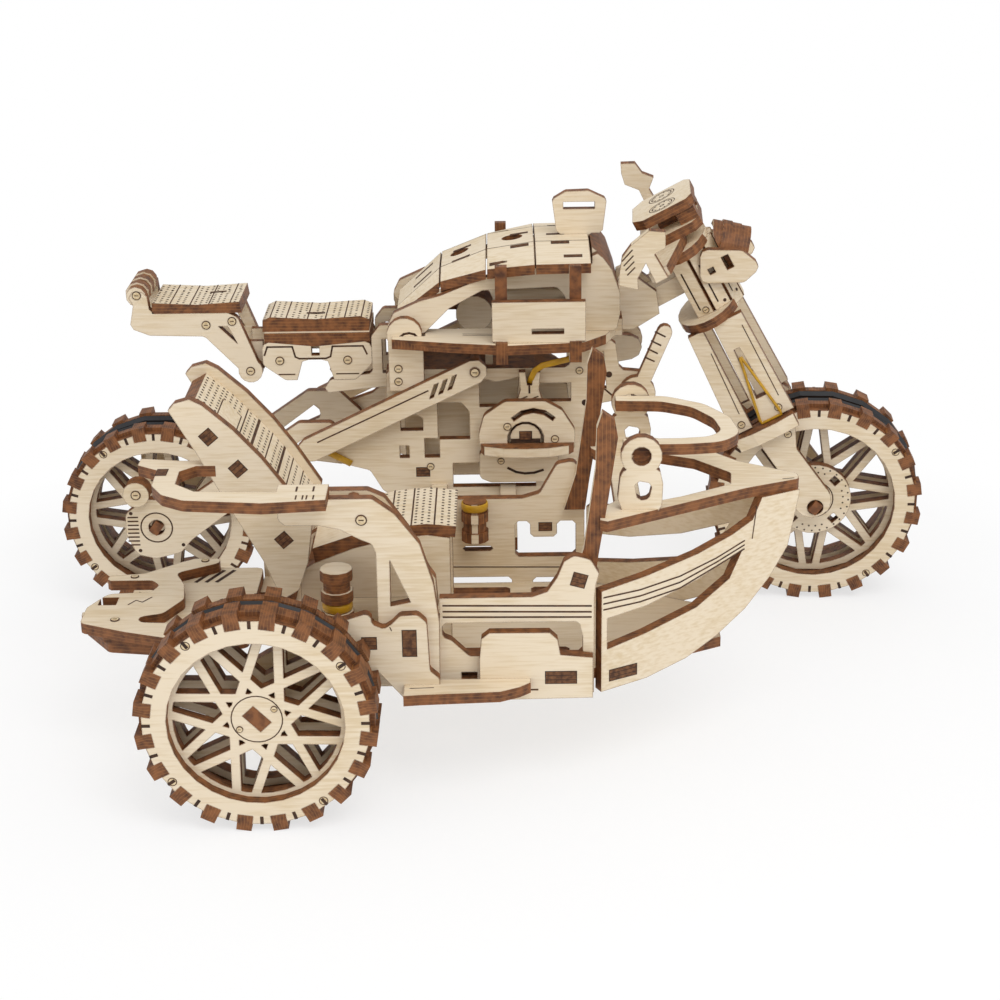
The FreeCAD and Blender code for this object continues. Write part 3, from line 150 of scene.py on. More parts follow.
MM = 0.001
PLY = 3.0
LUGS = 20
RAKE = 28.3
MIDDLE_Y = 57.3
FAR = 1000.0
CAR_SHIFT = (-0.8, -1.6)
RISE = 0.026
ACROSS = (0.0, 1.0, 0.0)
UPWARD = (0.0, 0.0, 1.0)
ALONG = (1.0, 0.0, 0.0)
X, Y, Z = np.array(ALONG), np.array(ACROSS), np.array(UPWARD)


def record_size(key: str) -> None:
    """Args:
        key: Name of the moment, "loaded" or "finished".
    """
    low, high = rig.bounds()
    path = "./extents.json"
    sizes: dict[str, list[list[float]]] = {}
    if key != "loaded":
        with open(path) as handle:
            sizes = json.load(handle)
    sizes[key] = [list(low), list(high)]
    with open(path, "w") as handle:
        json.dump(sizes, handle)


record_size("loaded")


def linear(code: str) -> tuple[float, float, float, float]:
    """Linear RGBA of an sRGB hex code such as "#E7CFA6"."""
    parts = [int(code[i:i + 2], 16) / 255 for i in (1, 3, 5)]
    values = [p / 12.92 if p <= 0.04045 else ((p + 0.055) / 1.055) ** 2.4 for p in parts]
    return (values[0], values[1], values[2], 1.0)


def placed(name: str, data: bpy.types.ID) -> bpy.types.Object:
    """Puts mesh, lamp or camera data into the scene as an object."""
    item = bpy.data.objects.new(name, data)
    bpy.context.scene.collection.objects.link(item)
    return item


def unit(turns: Array) -> Array:
    """Directions (cos t, sin t) for angles in radians."""
    return np.stack([np.cos(turns), np.sin(turns)], axis=1)


def values_of(items: bpy.types.bpy_prop_collection, key: str, width: int = 1, kind: type = float) -> Array:
    """One property of a mesh's elements.

    Args:
        items: Vertices, loops or polygons.
        key: Name of the property.
        width: Numbers in each value.
        kind: Number type that Blender holds it as.

    Returns:
        One row for each element, or a flat array where width is one.
    """
    values = np.zeros(len(items) * width, kind)
    items.foreach_get(key, values)
    return values.reshape(-1, width) if width > 1 else values


class Nodes:
    """Small helper that adds shader nodes to one material."""

    def __init__(self, name: str) -> None:
        """Starts an empty node material.

        Args:
            name: Name of the material.
        """
        self.material = bpy.data.materials.new(name)
        self.material.use_nodes = True
        self.tree = self.material.node_tree
        self.tree.nodes.clear()

    def add(self, kind: str, **settings: object) -> bpy.types.ShaderNode:
        """Adds one node and sets its properties.

        Args:
            kind: Blender's node type, such as "ShaderNodeMath".
            settings: Property names and values.

        Returns:
            The new node.
        """
        node = self.tree.nodes.new(kind)
        for key, value in settings.items():
            setattr(node, key, value)
        return node

    def join(self, source: bpy.types.NodeSocket, target: bpy.types.NodeSocket) -> None:
        """Links an output socket to an input socket."""
        self.tree.links.new(source, target)

    def attribute(self, name: str) -> bpy.types.NodeSocket:
        """Value of a mesh attribute."""
        return self.add("ShaderNodeAttribute", attribute_name=name).outputs["Fac"]

    def math(self, operation: str, first: object, second: object = 0.0) -> bpy.types.NodeSocket:
        """Result of a math node on sockets or numbers."""
        node = self.add("ShaderNodeMath", operation=operation)
        for i, value in enumerate((first, second)):
            if isinstance(value, (int, float)):
                node.inputs[i].default_value = value
            else:
                self.join(value, node.inputs[i])
        return node.outputs[0]

    def noise(self, stretch: tuple[float, float, float], scale: float, detail: float) -> bpy.types.NodeSocket:
        """Noise in object space, stretched along the axes.

        Args:
            stretch: Factor on each object axis before the noise is read.
            scale: Features per metre.
            detail: Octaves.

        Returns:
            Noise value, about 0 to 1.
        """
        place = self.add("ShaderNodeTexCoord").outputs["Object"]
        mapping = self.add("ShaderNodeMapping")
        mapping.inputs["Scale"].default_value = stretch
        self.join(place, mapping.inputs["Vector"])
        noise = self.add("ShaderNodeTexNoise")
        noise.inputs["Scale"].default_value = scale
        noise.inputs["Detail"].default_value = detail
        self.join(mapping.outputs[0], noise.inputs["Vector"])
        return noise.outputs["Fac"]

    def ramp(self, value: bpy.types.NodeSocket, stops: list[tuple[float, str]]) -> bpy.types.NodeSocket:
        """Colour ramp through hex colours."""
        node = self.add("ShaderNodeValToRGB")
        points = node.color_ramp.elements
        while len(points) < len(stops):
            points.new(0.5)
        for point, (place, code) in zip(points, stops):
            point.position = place
            point.color = linear(code)
        self.join(value, node.inputs[0])
        return node.outputs[0]

    def mix(self, share: bpy.types.NodeSocket, first: object, second: object) -> bpy.types.NodeSocket:
        """Colour between two colours or colour sockets."""
        node = self.add("ShaderNodeMix", data_type="RGBA")
        self.join(share, node.inputs["Factor"])
        for socket, value in ((node.inputs[6], first), (node.inputs[7], second)):
            if isinstance(value, tuple):
                socket.default_value = value
            else:
                self.join(value, socket)
        return node.outputs[2]

    def surface(self, colour: object, roughness: object, bump: bpy.types.NodeSocket | None = None,
                depth: float = 0.05, ior: float = 1.5) -> bpy.types.Material:
        """Closes the material with a principled surface.

        Args:
            colour: Colour or colour socket.
            roughness: Number or socket.
            bump: Height for a bump, if any.
            depth: Height of the bump in millimetres.
            ior: Index of refraction.

        Returns:
            The finished material.
        """
        shader = self.add("ShaderNodeBsdfPrincipled")
        shader.inputs["IOR"].default_value = ior
        for socket, value in ((shader.inputs["Base Color"], colour), (shader.inputs["Roughness"], roughness)):
            if isinstance(value, (int, float, tuple)):
                socket.default_value = value
            else:
                self.join(value, socket)
        if bump is not None:
            node = self.add("ShaderNodeBump")
            node.inputs["Strength"].default_value = 0.6
            node.inputs["Distance"].default_value = depth * MM
            self.join(bump, node.inputs["Height"])
            self.join(node.outputs[0], shader.inputs["Normal"])
        output = self.add("ShaderNodeOutputMaterial")
        self.join(shader.outputs[0], output.inputs["Surface"])
        return self.material


@dataclass(frozen=True)
class BirchPly:
    """Laser-cut birch plywood: pale veneer on the faces, burnt plies on the cut edges."""

    name: str = "birch_ply_laser_cut"
    veneer: str = "#E6D6BC"
    veneer_dark: str = "#D8C3A0"
    burnt: str = "#85522A"
    burnt_dark: str = "#4F2C15"
    glue: str = "#A8743F"
    kerf: str = "#6B4426"
    plies: int = 3
    glue_from: float = 0.44
    glue_share: float = 0.55
    scorch_wide: float = 0.45
    scorch_gain: float = 6.0
    scorch_most: float = 0.85
    roughness: float = 0.62

    def build(self) -> bpy.types.Material:
        """Makes the material. It reads the mesh attributes "burnt" and "depth"."""
        n = Nodes(self.name)
        grain = n.noise((0.12, 1.0, 1.6), 900.0, 4.0)
        cloud = n.noise((1.0, 1.0, 1.0), 35.0, 2.0)
        mixed = n.math("ADD", n.math("MULTIPLY", grain, 0.6), n.math("MULTIPLY", cloud, 0.4))
        face = n.ramp(mixed, [(0.36, self.veneer_dark), (0.55, self.veneer)])
        char = n.noise((1.0, 1.0, 1.0), 420.0, 5.0)
        edge = n.ramp(char, [(0.32, self.burnt_dark), (0.62, self.burnt)])
        depth = n.attribute("depth")
        ply = n.math("FRACT", n.math("DIVIDE", depth, PLY / self.plies))
        layer = n.math("ABSOLUTE", n.math("SUBTRACT", ply, 0.5))
        line = n.math("GREATER_THAN", layer, self.glue_from)
        edge = n.mix(n.math("MULTIPLY", line, self.glue_share), edge, linear(self.glue))
        face = n.mix(self.scorch(n), face, linear(self.kerf))
        colour = n.mix(n.attribute("burnt"), face, edge)
        return n.surface(colour, self.roughness, grain, 0.03)

    def scorch(self, n: Nodes) -> bpy.types.NodeSocket:
        """Share of scorch on a face: one where the rounded normal turns away, next to a cut edge."""
        rounded = n.add("ShaderNodeBevel", samples=4)
        rounded.inputs["Radius"].default_value = self.scorch_wide * MM
        plain = n.add("ShaderNodeNewGeometry").outputs["Normal"]
        dot = n.add("ShaderNodeVectorMath", operation="DOT_PRODUCT")
        n.join(rounded.outputs[0], dot.inputs[0])
        n.join(plain, dot.inputs[1])
        turned = n.math("SUBTRACT", 1.0, dot.outputs["Value"])
        return n.math("MINIMUM", n.math("MULTIPLY", turned, self.scorch_gain), self.scorch_most)


@dataclass(frozen=True)
class BurntMark:
    """Shallow laser engraving, the burnt end of a tenon, a pale pin end, and a dark cut opening whose brown is partly
    burnt wall and partly painted shade inside the opening.
    """

    name: str
    colour: str
    dark: str
    scale: float = 500.0

    def build(self) -> bpy.types.Material:
        """Makes the material."""
        n = Nodes(self.name)
        value = n.noise((1.0, 1.0, 1.0), self.scale, 4.0)
        return n.surface(n.ramp(value, [(0.35, self.dark), (0.65, self.colour)]), 0.75)


@dataclass(frozen=True)
class Rubber:
    """Moulded rubber ring or band."""

    name: str
    colour: str
    dark: str
    roughness: float = 0.5

    def build(self) -> bpy.types.Material:
        """Makes the material."""
        n = Nodes(self.name)
        value = n.noise((1.0, 1.0, 1.0), 260.0, 3.0)
        colour = n.ramp(value, [(0.3, self.dark), (0.7, self.colour)])
        return n.surface(colour, self.roughness, value, 0.02, 1.52)


class Finish(Enum):
    """Finishes used by the pieces."""

    PLY = BirchPly()
    ENGRAVED = BurntMark("laser_engraving_in_birch", "#5A3A22", "#3A2314")
    TENON = BurntMark("birch_tenon_end_burnt", "#7A5130", "#4A2C18", 900.0)
    PIN = BurntMark("birch_pin_end", "#E2D0AE", "#C6AC80", 1500.0)
    # Dark decals for holes, slots, slits and kerfs through the sheet: the dark brown is partly the burnt wall of the
    # cut and partly painted shade for the inside of the opening; it also draws the dark lines across tenon ends.
    CHAR_AND_SHADE = BurntMark("laser_cut_char_and_painted_shade", "#4A2E1A", "#2A170C")
    BLACK = Rubber("black_rubber_moulded", "#222226", "#141417")
    YELLOW = Rubber("ochre_rubber_moulded", "#D0A018", "#A87C0E", 0.42)


class Palette:
    """Builds each finish once."""

    def __init__(self) -> None:
        """Starts with nothing built."""
        self.built: dict[Finish, bpy.types.Material] = {}

    def get(self, finish: Finish) -> bpy.types.Material:
        """Material of a finish."""
        if finish not in self.built:
            self.built[finish] = finish.value.build()
        return self.built[finish]


@dataclass(frozen=True)
class ForkAxes:
    """Directions and origin of the steered fork at rest."""

    origin: Array
    ahead: Array
    left: Array
    up: Array

    @staticmethod
    def from_joints(joints: list[dict]) -> "ForkAxes":
        """Reads the fork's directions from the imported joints.

        Args:
            joints: Joints of the record.

        Returns:
            Axes with the front hub as origin, in millimetres.
        """
        steer = next(j for j in joints if j["name"] == "steering")
        spin = next(j for j in joints if j["name"] == "front_wheel_spin")
        up = np.array(steer["axis"], float)
        left = np.array(spin["axis"], float)
        up /= np.linalg.norm(up)
        left -= up * (left @ up)
        left /= np.linalg.norm(left)
        return ForkAxes(np.array(spin["pos_m"], float) / MM, np.cross(left, up), left, up)

    def local(self, points: Array) -> Array:
        """Places in the fork's own axes."""
        away = points - self.origin
        return np.stack([away @ self.ahead, away @ self.left, away @ self.up], axis=-1)


@dataclass(frozen=True)
class SheetRule:
    """Which way the sheets of a node, or of a part of it, are flat.

    Attributes:
        normal: Direction across the sheet.
        x: Range along the bike that the rule is for.
        y: Range across the bike.
        z: Range of heights.
        least: Least cosine between a face's normal and the direction.
    """

    normal: Point3
    x: Point = (-FAR, FAR)
    y: Point = (-FAR, FAR)
    z: Point = (-FAR, FAR)
    least: float = 0.93


BOW_COS = 0.888
BOW_SIN = 0.46
SEAT_LEAN = (0.86, 0.0, 0.51)
NOTHING: list[SheetRule] = []


@dataclass
class PlyDresser:
    """Marks every face of a CAD node as veneer or as burnt edge."""

    fork: ForkAxes
    palette: Palette
    rake: float = RAKE
    lug_turn: float = 360.0 / LUGS
    lug_half: float = 3.4
    plain: tuple[str, ...] = (
        "axle_carrier", "cushion_supports", "engine_block", "engine_covers", "fender", "foot_levers",
        "frame_plates", "hull_sides", "passenger_seat_brackets", "rear_hub_plates", "rear_wheel_rings",
        "rear_wheel_spokes", "ring_brackets", "seat_link", "seat_sides", "sidecar_wheel_rings",
        "sidecar_wheel_spokes", "swing_arms", "tank_handle", "tank_pivots", "tank_sides")
    flat: tuple[str, ...] = (
        "bow_rim", "floor", "footboard", "grab_bar", "grip_hoop", "rear_rack", "sidecar_shock", "sidecar_struts")
    fork_sides: tuple[str, ...] = (
        "fork_ends", "fork_legs", "headlamp", "headlamp_bracket", "front_wheel_rings", "front_wheel_spokes",
        "front_wheel_brake_disc")

    def rules(self) -> dict[str, list[SheetRule]]:
        """Rules of every node that isn't rubber."""
        ahead, left, up = (tuple(v) for v in (self.fork.ahead, self.fork.left, self.fork.up))
        table = {name: [SheetRule(ACROSS)] for name in self.plain}
        table.update({name: [SheetRule(UPWARD)] for name in self.flat})
        table.update({name: [SheetRule(left)] for name in self.fork_sides})
        table["bow_plates"] = [SheetRule((BOW_SIN, -BOW_COS, 0.0)), SheetRule((BOW_SIN, BOW_COS, 0.0))]
        table["handlebar"] = [SheetRule(left), SheetRule(up)]
        table["instrument_panel"] = table["fork_drum"] = [SheetRule(up)]
        table["steering_head"] = [SheetRule(up), SheetRule(ACROSS)]
        table["passenger_seat"] = [SheetRule(UPWARD, (-107.0, 0.0), z=(0.0, FAR), least=0.9),
                                   SheetRule(ACROSS, (-200.0, -105.3), z=(0.0, FAR))]
        table["rider_seat_pad"] = [SheetRule(UPWARD, least=0.9)]
        table["rider_seat_box"] = [SheetRule(ACROSS, z=(-FAR, 90.2)), SheetRule(UPWARD, z=(90.2, FAR))]
        table["seat_back_pad"] = [SheetRule(SEAT_LEAN, least=0.8)]
        table["seat_cushion"] = [SheetRule(UPWARD, least=0.88)]
        table["tank_top"] = [SheetRule(UPWARD, least=0.55)]
        table["tank_frame"] = [
            SheetRule(UPWARD, z=(92.4, 95.6)), SheetRule(ACROSS, y=(-FAR, 26.0), z=(95.6, FAR)),
            SheetRule(ACROSS, y=(88.6, FAR), z=(95.6, FAR)), SheetRule(ALONG, y=(28.3, 86.3))]
        table["windscreen_posts"] = [SheetRule(ALONG, least=0.8)]
        return table

    def dress(self, node: bpy.types.Object, rules: list[SheetRule]) -> None:
        """Writes the attributes "burnt" and "depth" and gives the node its material.

        Args:
            node: CAD node.
            rules: Its sheet rules; none leaves all of it burnt.
        """
        mesh = node.data
        count = len(mesh.polygons)
        centre = values_of(mesh.polygons, "center", 3) / MM
        normal = values_of(mesh.polygons, "normal", 3)
        vertex = values_of(mesh.loops, "vertex_index", kind=np.int32)
        spots = values_of(mesh.vertices, "co", 3)[vertex] / MM
        burnt = np.ones(count)
        depth = np.full(len(vertex), 0.5)
        owner = np.repeat(np.arange(count), values_of(mesh.polygons, "loop_total", kind=np.int32))
        for rule in rules:
            direction = np.array(rule.normal)
            low, high = np.array([rule.x, rule.y, rule.z]).T
            inside = np.all((centre > low) & (centre < high), axis=1)
            burnt[inside & (np.abs(normal @ direction) > rule.least)] = 0.0
            chosen = inside[owner]
            if chosen.any():
                run = spots @ direction
                depth[chosen] = run[chosen] - run[chosen].min()
        if node.name == "fork_drum":
            burnt = self.drum_faces(centre, normal, burnt)
        if node.name.endswith("wheel_tread"):
            depth = self.lug_depth(node.name, spots)
        for name, values in (("burnt", burnt[owner]), ("depth", depth)):
            layer = mesh.attributes.new(name, "FLOAT", "CORNER")
            layer.data.foreach_set("value", values.astype(np.float32))
        mesh.polygons.foreach_set("use_smooth", np.zeros(count, bool))
        self.paint(node, Finish.PLY)

    def lug_depth(self, name: str, spots: Array) -> Array:
        """Depth across the plies of the lugs: the radius times the angle from each lug's middle."""
        if name.startswith("front"):
            place = self.fork.local(spots)[:, [0, 2]]
        else:
            place = spots[:, [0, 2]] - spots[:, [0, 2]].mean(axis=0)
        turn = np.degrees(np.arctan2(place[:, 0], place[:, 1]))
        if name.startswith("front"):
            turn += self.rake
        offset = np.mod(turn + self.lug_turn / 2, self.lug_turn) - self.lug_turn / 2
        return np.linalg.norm(place, axis=1) * np.radians(offset) + self.lug_half

    def drum_faces(self, centre: Array, normal: Array, burnt: Array) -> Array:
        """Makes the outward faces of the drum's slats veneer."""
        local = self.fork.local(centre)
        outward = local[:, :1] * self.fork.ahead + local[:, 1:2] * self.fork.left
        length = np.linalg.norm(outward, axis=1, keepdims=True)
        facing = np.abs(np.sum(normal * outward / np.maximum(length, 1e-6), axis=1))
        slats = (facing > 0.9) & (length[:, 0] < 12.5) & (np.abs(normal @ self.fork.up) < 0.2)
        return np.where(slats, 0.0, burnt)

    def paint(self, node: bpy.types.Object, finish: Finish) -> None:
        """Gives a node one finish."""
        node.data.materials.clear()
        node.data.materials.append(self.palette.get(finish))

    def dress_all(self, nodes: dict[str, bpy.types.Object]) -> None:
        """Dresses every CAD node.

        Args:
            nodes: CAD nodes by name.
        """
        rules = self.rules()
        for name, node in nodes.items():
            if name.endswith("o_rings"):
                self.paint(node, Finish.BLACK)
            elif name == "fork_band":
                self.paint(node, Finish.YELLOW)
            else:
                self.dress(node, rules.get(name, NOTHING))
            log.info("dressed %s", name)


@dataclass(frozen=True)
class Plane:
    """Flat place for marks: an origin and two directions, with the normal facing out."""

    origin: Array
    u: Array
    v: Array
    out: Array

    @staticmethod
    def side(y: float) -> "Plane":
        """Upright fore and aft plane that faces the sidecar; u is X and v is Z."""
        return Plane(np.array([0, y, RISE]), X, Z, -Y)

    def across(self) -> "Plane":
        """The same plane on the other side of the bike, facing away."""
        spot = np.array([self.origin[0], 2 * MIDDLE_Y - self.origin[1], self.origin[2]])
        return Plane(spot, self.u, self.v, -self.out)

    def left_handed(self) -> bool:
        """Whether corners that run anticlockwise in u and v are seen clockwise."""
        return float(np.cross(self.u, self.v) @ self.out) < 0.0

    @staticmethod
    def top(z: float) -> "Plane":
        """Level plane; u is X and v is Y."""
        return Plane(np.array([0, 0, z + RISE]), X, Y, Z)

    def on_car(self) -> "Plane":
        """The same plane given in the sidecar's own drawn coordinates."""
        return Plane(self.origin + np.array([*CAR_SHIFT, 0.0]), self.u, self.v, self.out)

    def place(self, uv: Array, lift: float | Array) -> Array:
        """Points of the frame: origin + u * U + v * V, lifted along the normal."""
        flat = self.origin + uv[..., :1] * self.u + uv[..., 1:2] * self.v
        return flat + np.asarray(lift)[..., None] * self.out


@dataclass(frozen=True)
class Ribbon:
    """Bent sheet running straight across: u is the length along a profile of (x, z), v is Y."""

    profile: Array
    shift: tuple[float, float] = (0.0, 0.0)

    def place(self, uv: Array, lift: float | Array) -> Array:
        """Points of the frame: the profile at length u, off along its upper normal (-dz, dx)."""
        steps = np.diff(self.profile, axis=0)
        lengths = np.linalg.norm(steps, axis=1)
        reach = np.concatenate([[0.0], np.cumsum(lengths)])
        index = np.clip(np.searchsorted(reach, uv[..., 0], side="right") - 1, 0, len(steps) - 1)
        run = (steps / lengths[:, None])[index]
        spot = self.profile[index] + (uv[..., 0] - reach[index])[..., None] * run
        spot = spot + np.asarray(lift)[..., None] * np.stack([-run[..., 1], run[..., 0]], axis=-1)
        x, y, z = spot[..., 0] + self.shift[0], uv[..., 1] + self.shift[1], spot[..., 1] + RISE
        return np.stack([x, y, z], axis=-1)


@dataclass(frozen=True)
class TankSkin:
    """Top of the tank: u is X and v is Y.

    Attributes:
        stations: Rows of x, height, half width and drop to the side edge.
        flat: Half width of the level strip.
    """

    stations: Array
    flat: float = 9.5

    def place(self, uv: Array, lift: float | Array) -> Array:
        """Points of the frame: height at x less the drop, shared evenly past the level strip."""
        x, away = uv[..., 0], np.abs(uv[..., 1] - MIDDLE_Y)
        table = self.stations
        z, half, drop = (np.interp(x, table[:, 0], table[:, k]) for k in (1, 2, 3))
        fall = np.clip((away - self.flat) / (half - self.flat), 0.0, 1.0) * drop
        return np.stack([x, uv[..., 1], z - fall + np.asarray(lift) + RISE], axis=-1)


Surface = Plane | Ribbon | TankSkin


class Marks:
    """Marks on the sheets of one body, gathered into one mesh for each finish."""

    lift: float = 0.05

    def __init__(self, name: str, body: str, palette: Palette) -> None:
        """Starts with no marks.

        Args:
            name: Start of the objects' names.
            body: CAD body the marks ride on.
            palette: Finishes.
        """
        self.name = name
        self.body = body
        self.palette = palette
        self.loops: dict[Finish, list[Array]] = {}

    def add(self, finish: Finish, on: Surface, loops: Array, lift: float | Array | None = None) -> None:
        """Adds polygons given as an array (count, corners, 2) in the surface's coordinates."""
        spots = on.place(np.asarray(loops, float), self.lift if lift is None else lift)
        if isinstance(on, Plane) and on.left_handed():
            spots = spots[:, ::-1]
        self.loops.setdefault(finish, []).append(spots)

    def lines(self, on: Surface, points: list[Point], width: float = 0.4,
              finish: Finish = Finish.ENGRAVED) -> None:
        """Engraved line through points: each stretch is a quad half a width to either side."""
        path = np.array(points, float)
        start, end = path[:-1], path[1:]
        run = end - start
        run /= np.linalg.norm(run, axis=1, keepdims=True)
        side = np.stack([-run[:, 1], run[:, 0]], axis=1) * width / 2
        over = run * width * 0.25
        first, last = start - over, end + over
        self.add(finish, on, np.stack([first - side, last - side, last + side, first + side], axis=1))

    def circle(self, on: Surface, centre: Point, radius: float, width: float = 0.4, first: float = 0.0,
               last: float = 360.0) -> None:
        """Engraved arc: centre + radius * (cos t, sin t), t in degrees from first to last."""
        t = np.radians(np.linspace(first, last, max(6, int(abs(last - first) / 12))))
        self.lines(on, np.array(centre) + radius * unit(t), width)

    def discs(self, on: Surface, centres: list[Point] | Array, radius: float, finish: Finish = Finish.CHAR_AND_SHADE,
              sides: int = 14, lift: float | None = None) -> None:
        """Round marks: centre + radius * (cos t, sin t); by default dark hole discs, partly burnt wall and partly
        painted shade inside the hole.
        """
        spots = np.asarray(centres, float).reshape(-1, 1, 2)
        t = np.linspace(0, 2 * math.pi, sides, endpoint=False)
        self.add(finish, on, spots + radius * unit(t), lift)

    def boss(self, on: Surface, centres: list[Point], radius: float, height: float, rim: Finish, top: Finish,
             sides: int = 16) -> None:
        """Low round post: a wall, a bevel of a fifth of the radius, and a level top."""
        spots = np.asarray(centres, float).reshape(-1, 1, 2)
        ring = unit(np.linspace(0, 2 * math.pi, sides + 1))
        profile = [(radius, 0.0), (radius, height * 0.75), (radius * 0.8, height)]
        for (r0, h0), (r1, h1) in zip(profile, profile[1:]):
            quads = np.stack([ring[:-1] * r0, ring[1:] * r0, ring[1:] * r1, ring[:-1] * r1], axis=1)
            quads = (spots[:, None] + quads[None]).reshape(-1, 4, 2)
            self.add(rim, on, quads, np.broadcast_to([h0, h0, h1, h1], quads.shape[:2]))
        self.add(top, on, spots + ring[:-1] * radius * 0.8, height)

    def pins(self, on: Surface, centres: list[Point], radius: float = 1.3, height: float = 0.3) -> None:
        """Pin ends: a low round post with a burnt rim and a slot across its pale top."""
        self.boss(on, centres, radius, height, Finish.ENGRAVED, Finish.PIN)
        tick = np.array([[-0.45, -0.1], [0.45, -0.1], [0.45, 0.1], [-0.45, 0.1]]) * radius
        self.add(Finish.ENGRAVED, on, np.asarray(centres, float).reshape(-1, 1, 2) + tick, height + 0.02)

    def tenons(self, on: Surface, boxes: list[Quad], turn: float = 0.0) -> None:
        """Burnt tenon ends (u0, u1, v0, v1), turned about their middles, with a dark kerf round them, its brown partly
        burnt wood and partly painted shade in the gap.
        """
        b = np.array(boxes, float)
        middle = np.stack([b[:, :2].mean(axis=1), b[:, 2:].mean(axis=1)], axis=1)[:, None]
        half = np.stack([b[:, 1] - b[:, 0], b[:, 3] - b[:, 2]], axis=1)[:, None] / 2
        corners = np.array([[-1, -1], [1, -1], [1, 1], [-1, 1]], float)
        c, s = math.cos(math.radians(turn)), math.sin(math.radians(turn))
        turned = np.array([[c, s], [-s, c]])
        # Kerf ring: burnt wood with painted shade for the gap round the tenon.
        self.add(Finish.CHAR_AND_SHADE, on, middle + (half * corners) @ turned, self.lift)
        self.add(Finish.TENON, on, middle + ((half - 0.22) * corners) @ turned, self.lift + 0.04)
        for share in (-0.34, 0.34):
            strip = corners * X[:2] * (half - 0.22) + Y[:2] * (half * share + corners * 0.09)
            self.add(Finish.CHAR_AND_SHADE, on, middle + strip @ turned, self.lift + 0.07)

    def dots(self, on: Surface, u: Point, v: Point, gaps: list[Point] | None = None, pitch: float = 2.05,
             radius: float = 0.42) -> None:
        """Staggered perforations over u and v ranges, left out where u lies in one of the gaps; each is a dark disc of
        burnt wall and painted shade inside the hole.
        """
        i = np.arange(u[0] + 0.6, u[1] - 0.5, pitch * 0.87)
        j = np.arange(v[0] + 0.7, v[1] - 0.6, pitch)
        a, b = np.meshgrid(i, j, indexing="ij")
        b = b + (np.arange(len(i)) % 2)[:, None] * pitch / 2
        keep = b < v[1] - 0.4
        for low, high in gaps or []:
            keep &= (a < low) | (a > high)
        self.discs(on, np.stack([a[keep], b[keep]], axis=1), radius, Finish.CHAR_AND_SHADE, 6)

    def finish(self) -> None:
        """Makes one object for each finish."""
        for finish, groups in self.loops.items():
            spots = np.concatenate([g.reshape(-1, 3) for g in groups]) * MM
            counts = np.concatenate([np.full(len(g), g.shape[1]) for g in groups])
            mesh = bpy.data.meshes.new(f"{self.name}_{finish.name.lower()}")
            mesh.vertices.add(len(spots))
            mesh.vertices.foreach_set("co", spots.ravel())
            mesh.loops.add(len(spots))
            mesh.loops.foreach_set("vertex_index", np.arange(len(spots)))
            mesh.polygons.add(len(counts))
            mesh.polygons.foreach_set("loop_start", np.concatenate([[0], np.cumsum(counts)[:-1]]))
            mesh.update(calc_edges=True)
            mesh.materials.append(self.palette.get(finish))
            item = placed(mesh.name, mesh)
            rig.ride(item, self.body)
            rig.slot(item, "birch_ply")
            log.info("marks %s", item.name)


class CutPieces:
    """Extra sheets cut to an outline, gathered into one mesh."""

    def __init__(self, name: str, palette: Palette) -> None:
        """Starts with no sheets.

        Args:
            name: Name of the object.
            palette: Finishes.
        """
        self.name = name
        self.palette = palette
        self.spots: list[Array] = []
        self.faces: list[list[int]] = []
        self.burnt: list[float] = []
        self.depth: list[float] = []

    def prism(self, front: Array, back: Array, thick: float) -> None:
        """Closes a front outline against a back one: two flat faces and burnt walls between them."""
        start, count = sum(len(g) for g in self.spots), len(front)
        self.spots += [front, back]
        ring = list(range(start, start + count))
        behind = [k + count for k in ring]
        self.faces += [ring, behind[::-1]]
        self.burnt += [0.0] * 2 * count
        self.depth += [0.0] * count + [thick] * count
        for k in range(count):
            m = (k + 1) % count
            self.faces.append([ring[k], behind[k], behind[m], ring[m]])
            self.burnt += [1.0] * 4
            self.depth += [0.0, thick, thick, 0.0]

    def add(self, on: Plane, outline: list[Point] | Array, thick: float = PLY) -> None:
        """Adds a sheet whose front lies on a plane and whose back is thick behind it."""
        flat = np.array(outline, float)
        after = np.roll(flat, -1, axis=0)
        if np.sum(flat[:, 0] * after[:, 1] - after[:, 0] * flat[:, 1]) < 0:
            flat = flat[::-1]
        self.prism(on.place(flat, 0.0), on.place(flat, -thick), thick)

    def finish(self, body: str, node: str = "") -> None:
        """Makes the object, riding a body and standing for a CAD node where one is named."""
        mesh = bpy.data.meshes.new(self.name)
        mesh.from_pydata((np.concatenate(self.spots) * MM).tolist(), [], self.faces)
        for name, values in (("burnt", self.burnt), ("depth", self.depth)):
            layer = mesh.attributes.new(name, "FLOAT", "CORNER")
            layer.data.foreach_set("value", np.array(values, np.float32))
        mesh.materials.append(self.palette.get(Finish.PLY))
        item = placed(self.name, mesh)
        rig.ride(item, body)
        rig.slot(item, "birch_ply")
        if node:
            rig.replaces(item, node)
        log.info("cut %s", self.name)


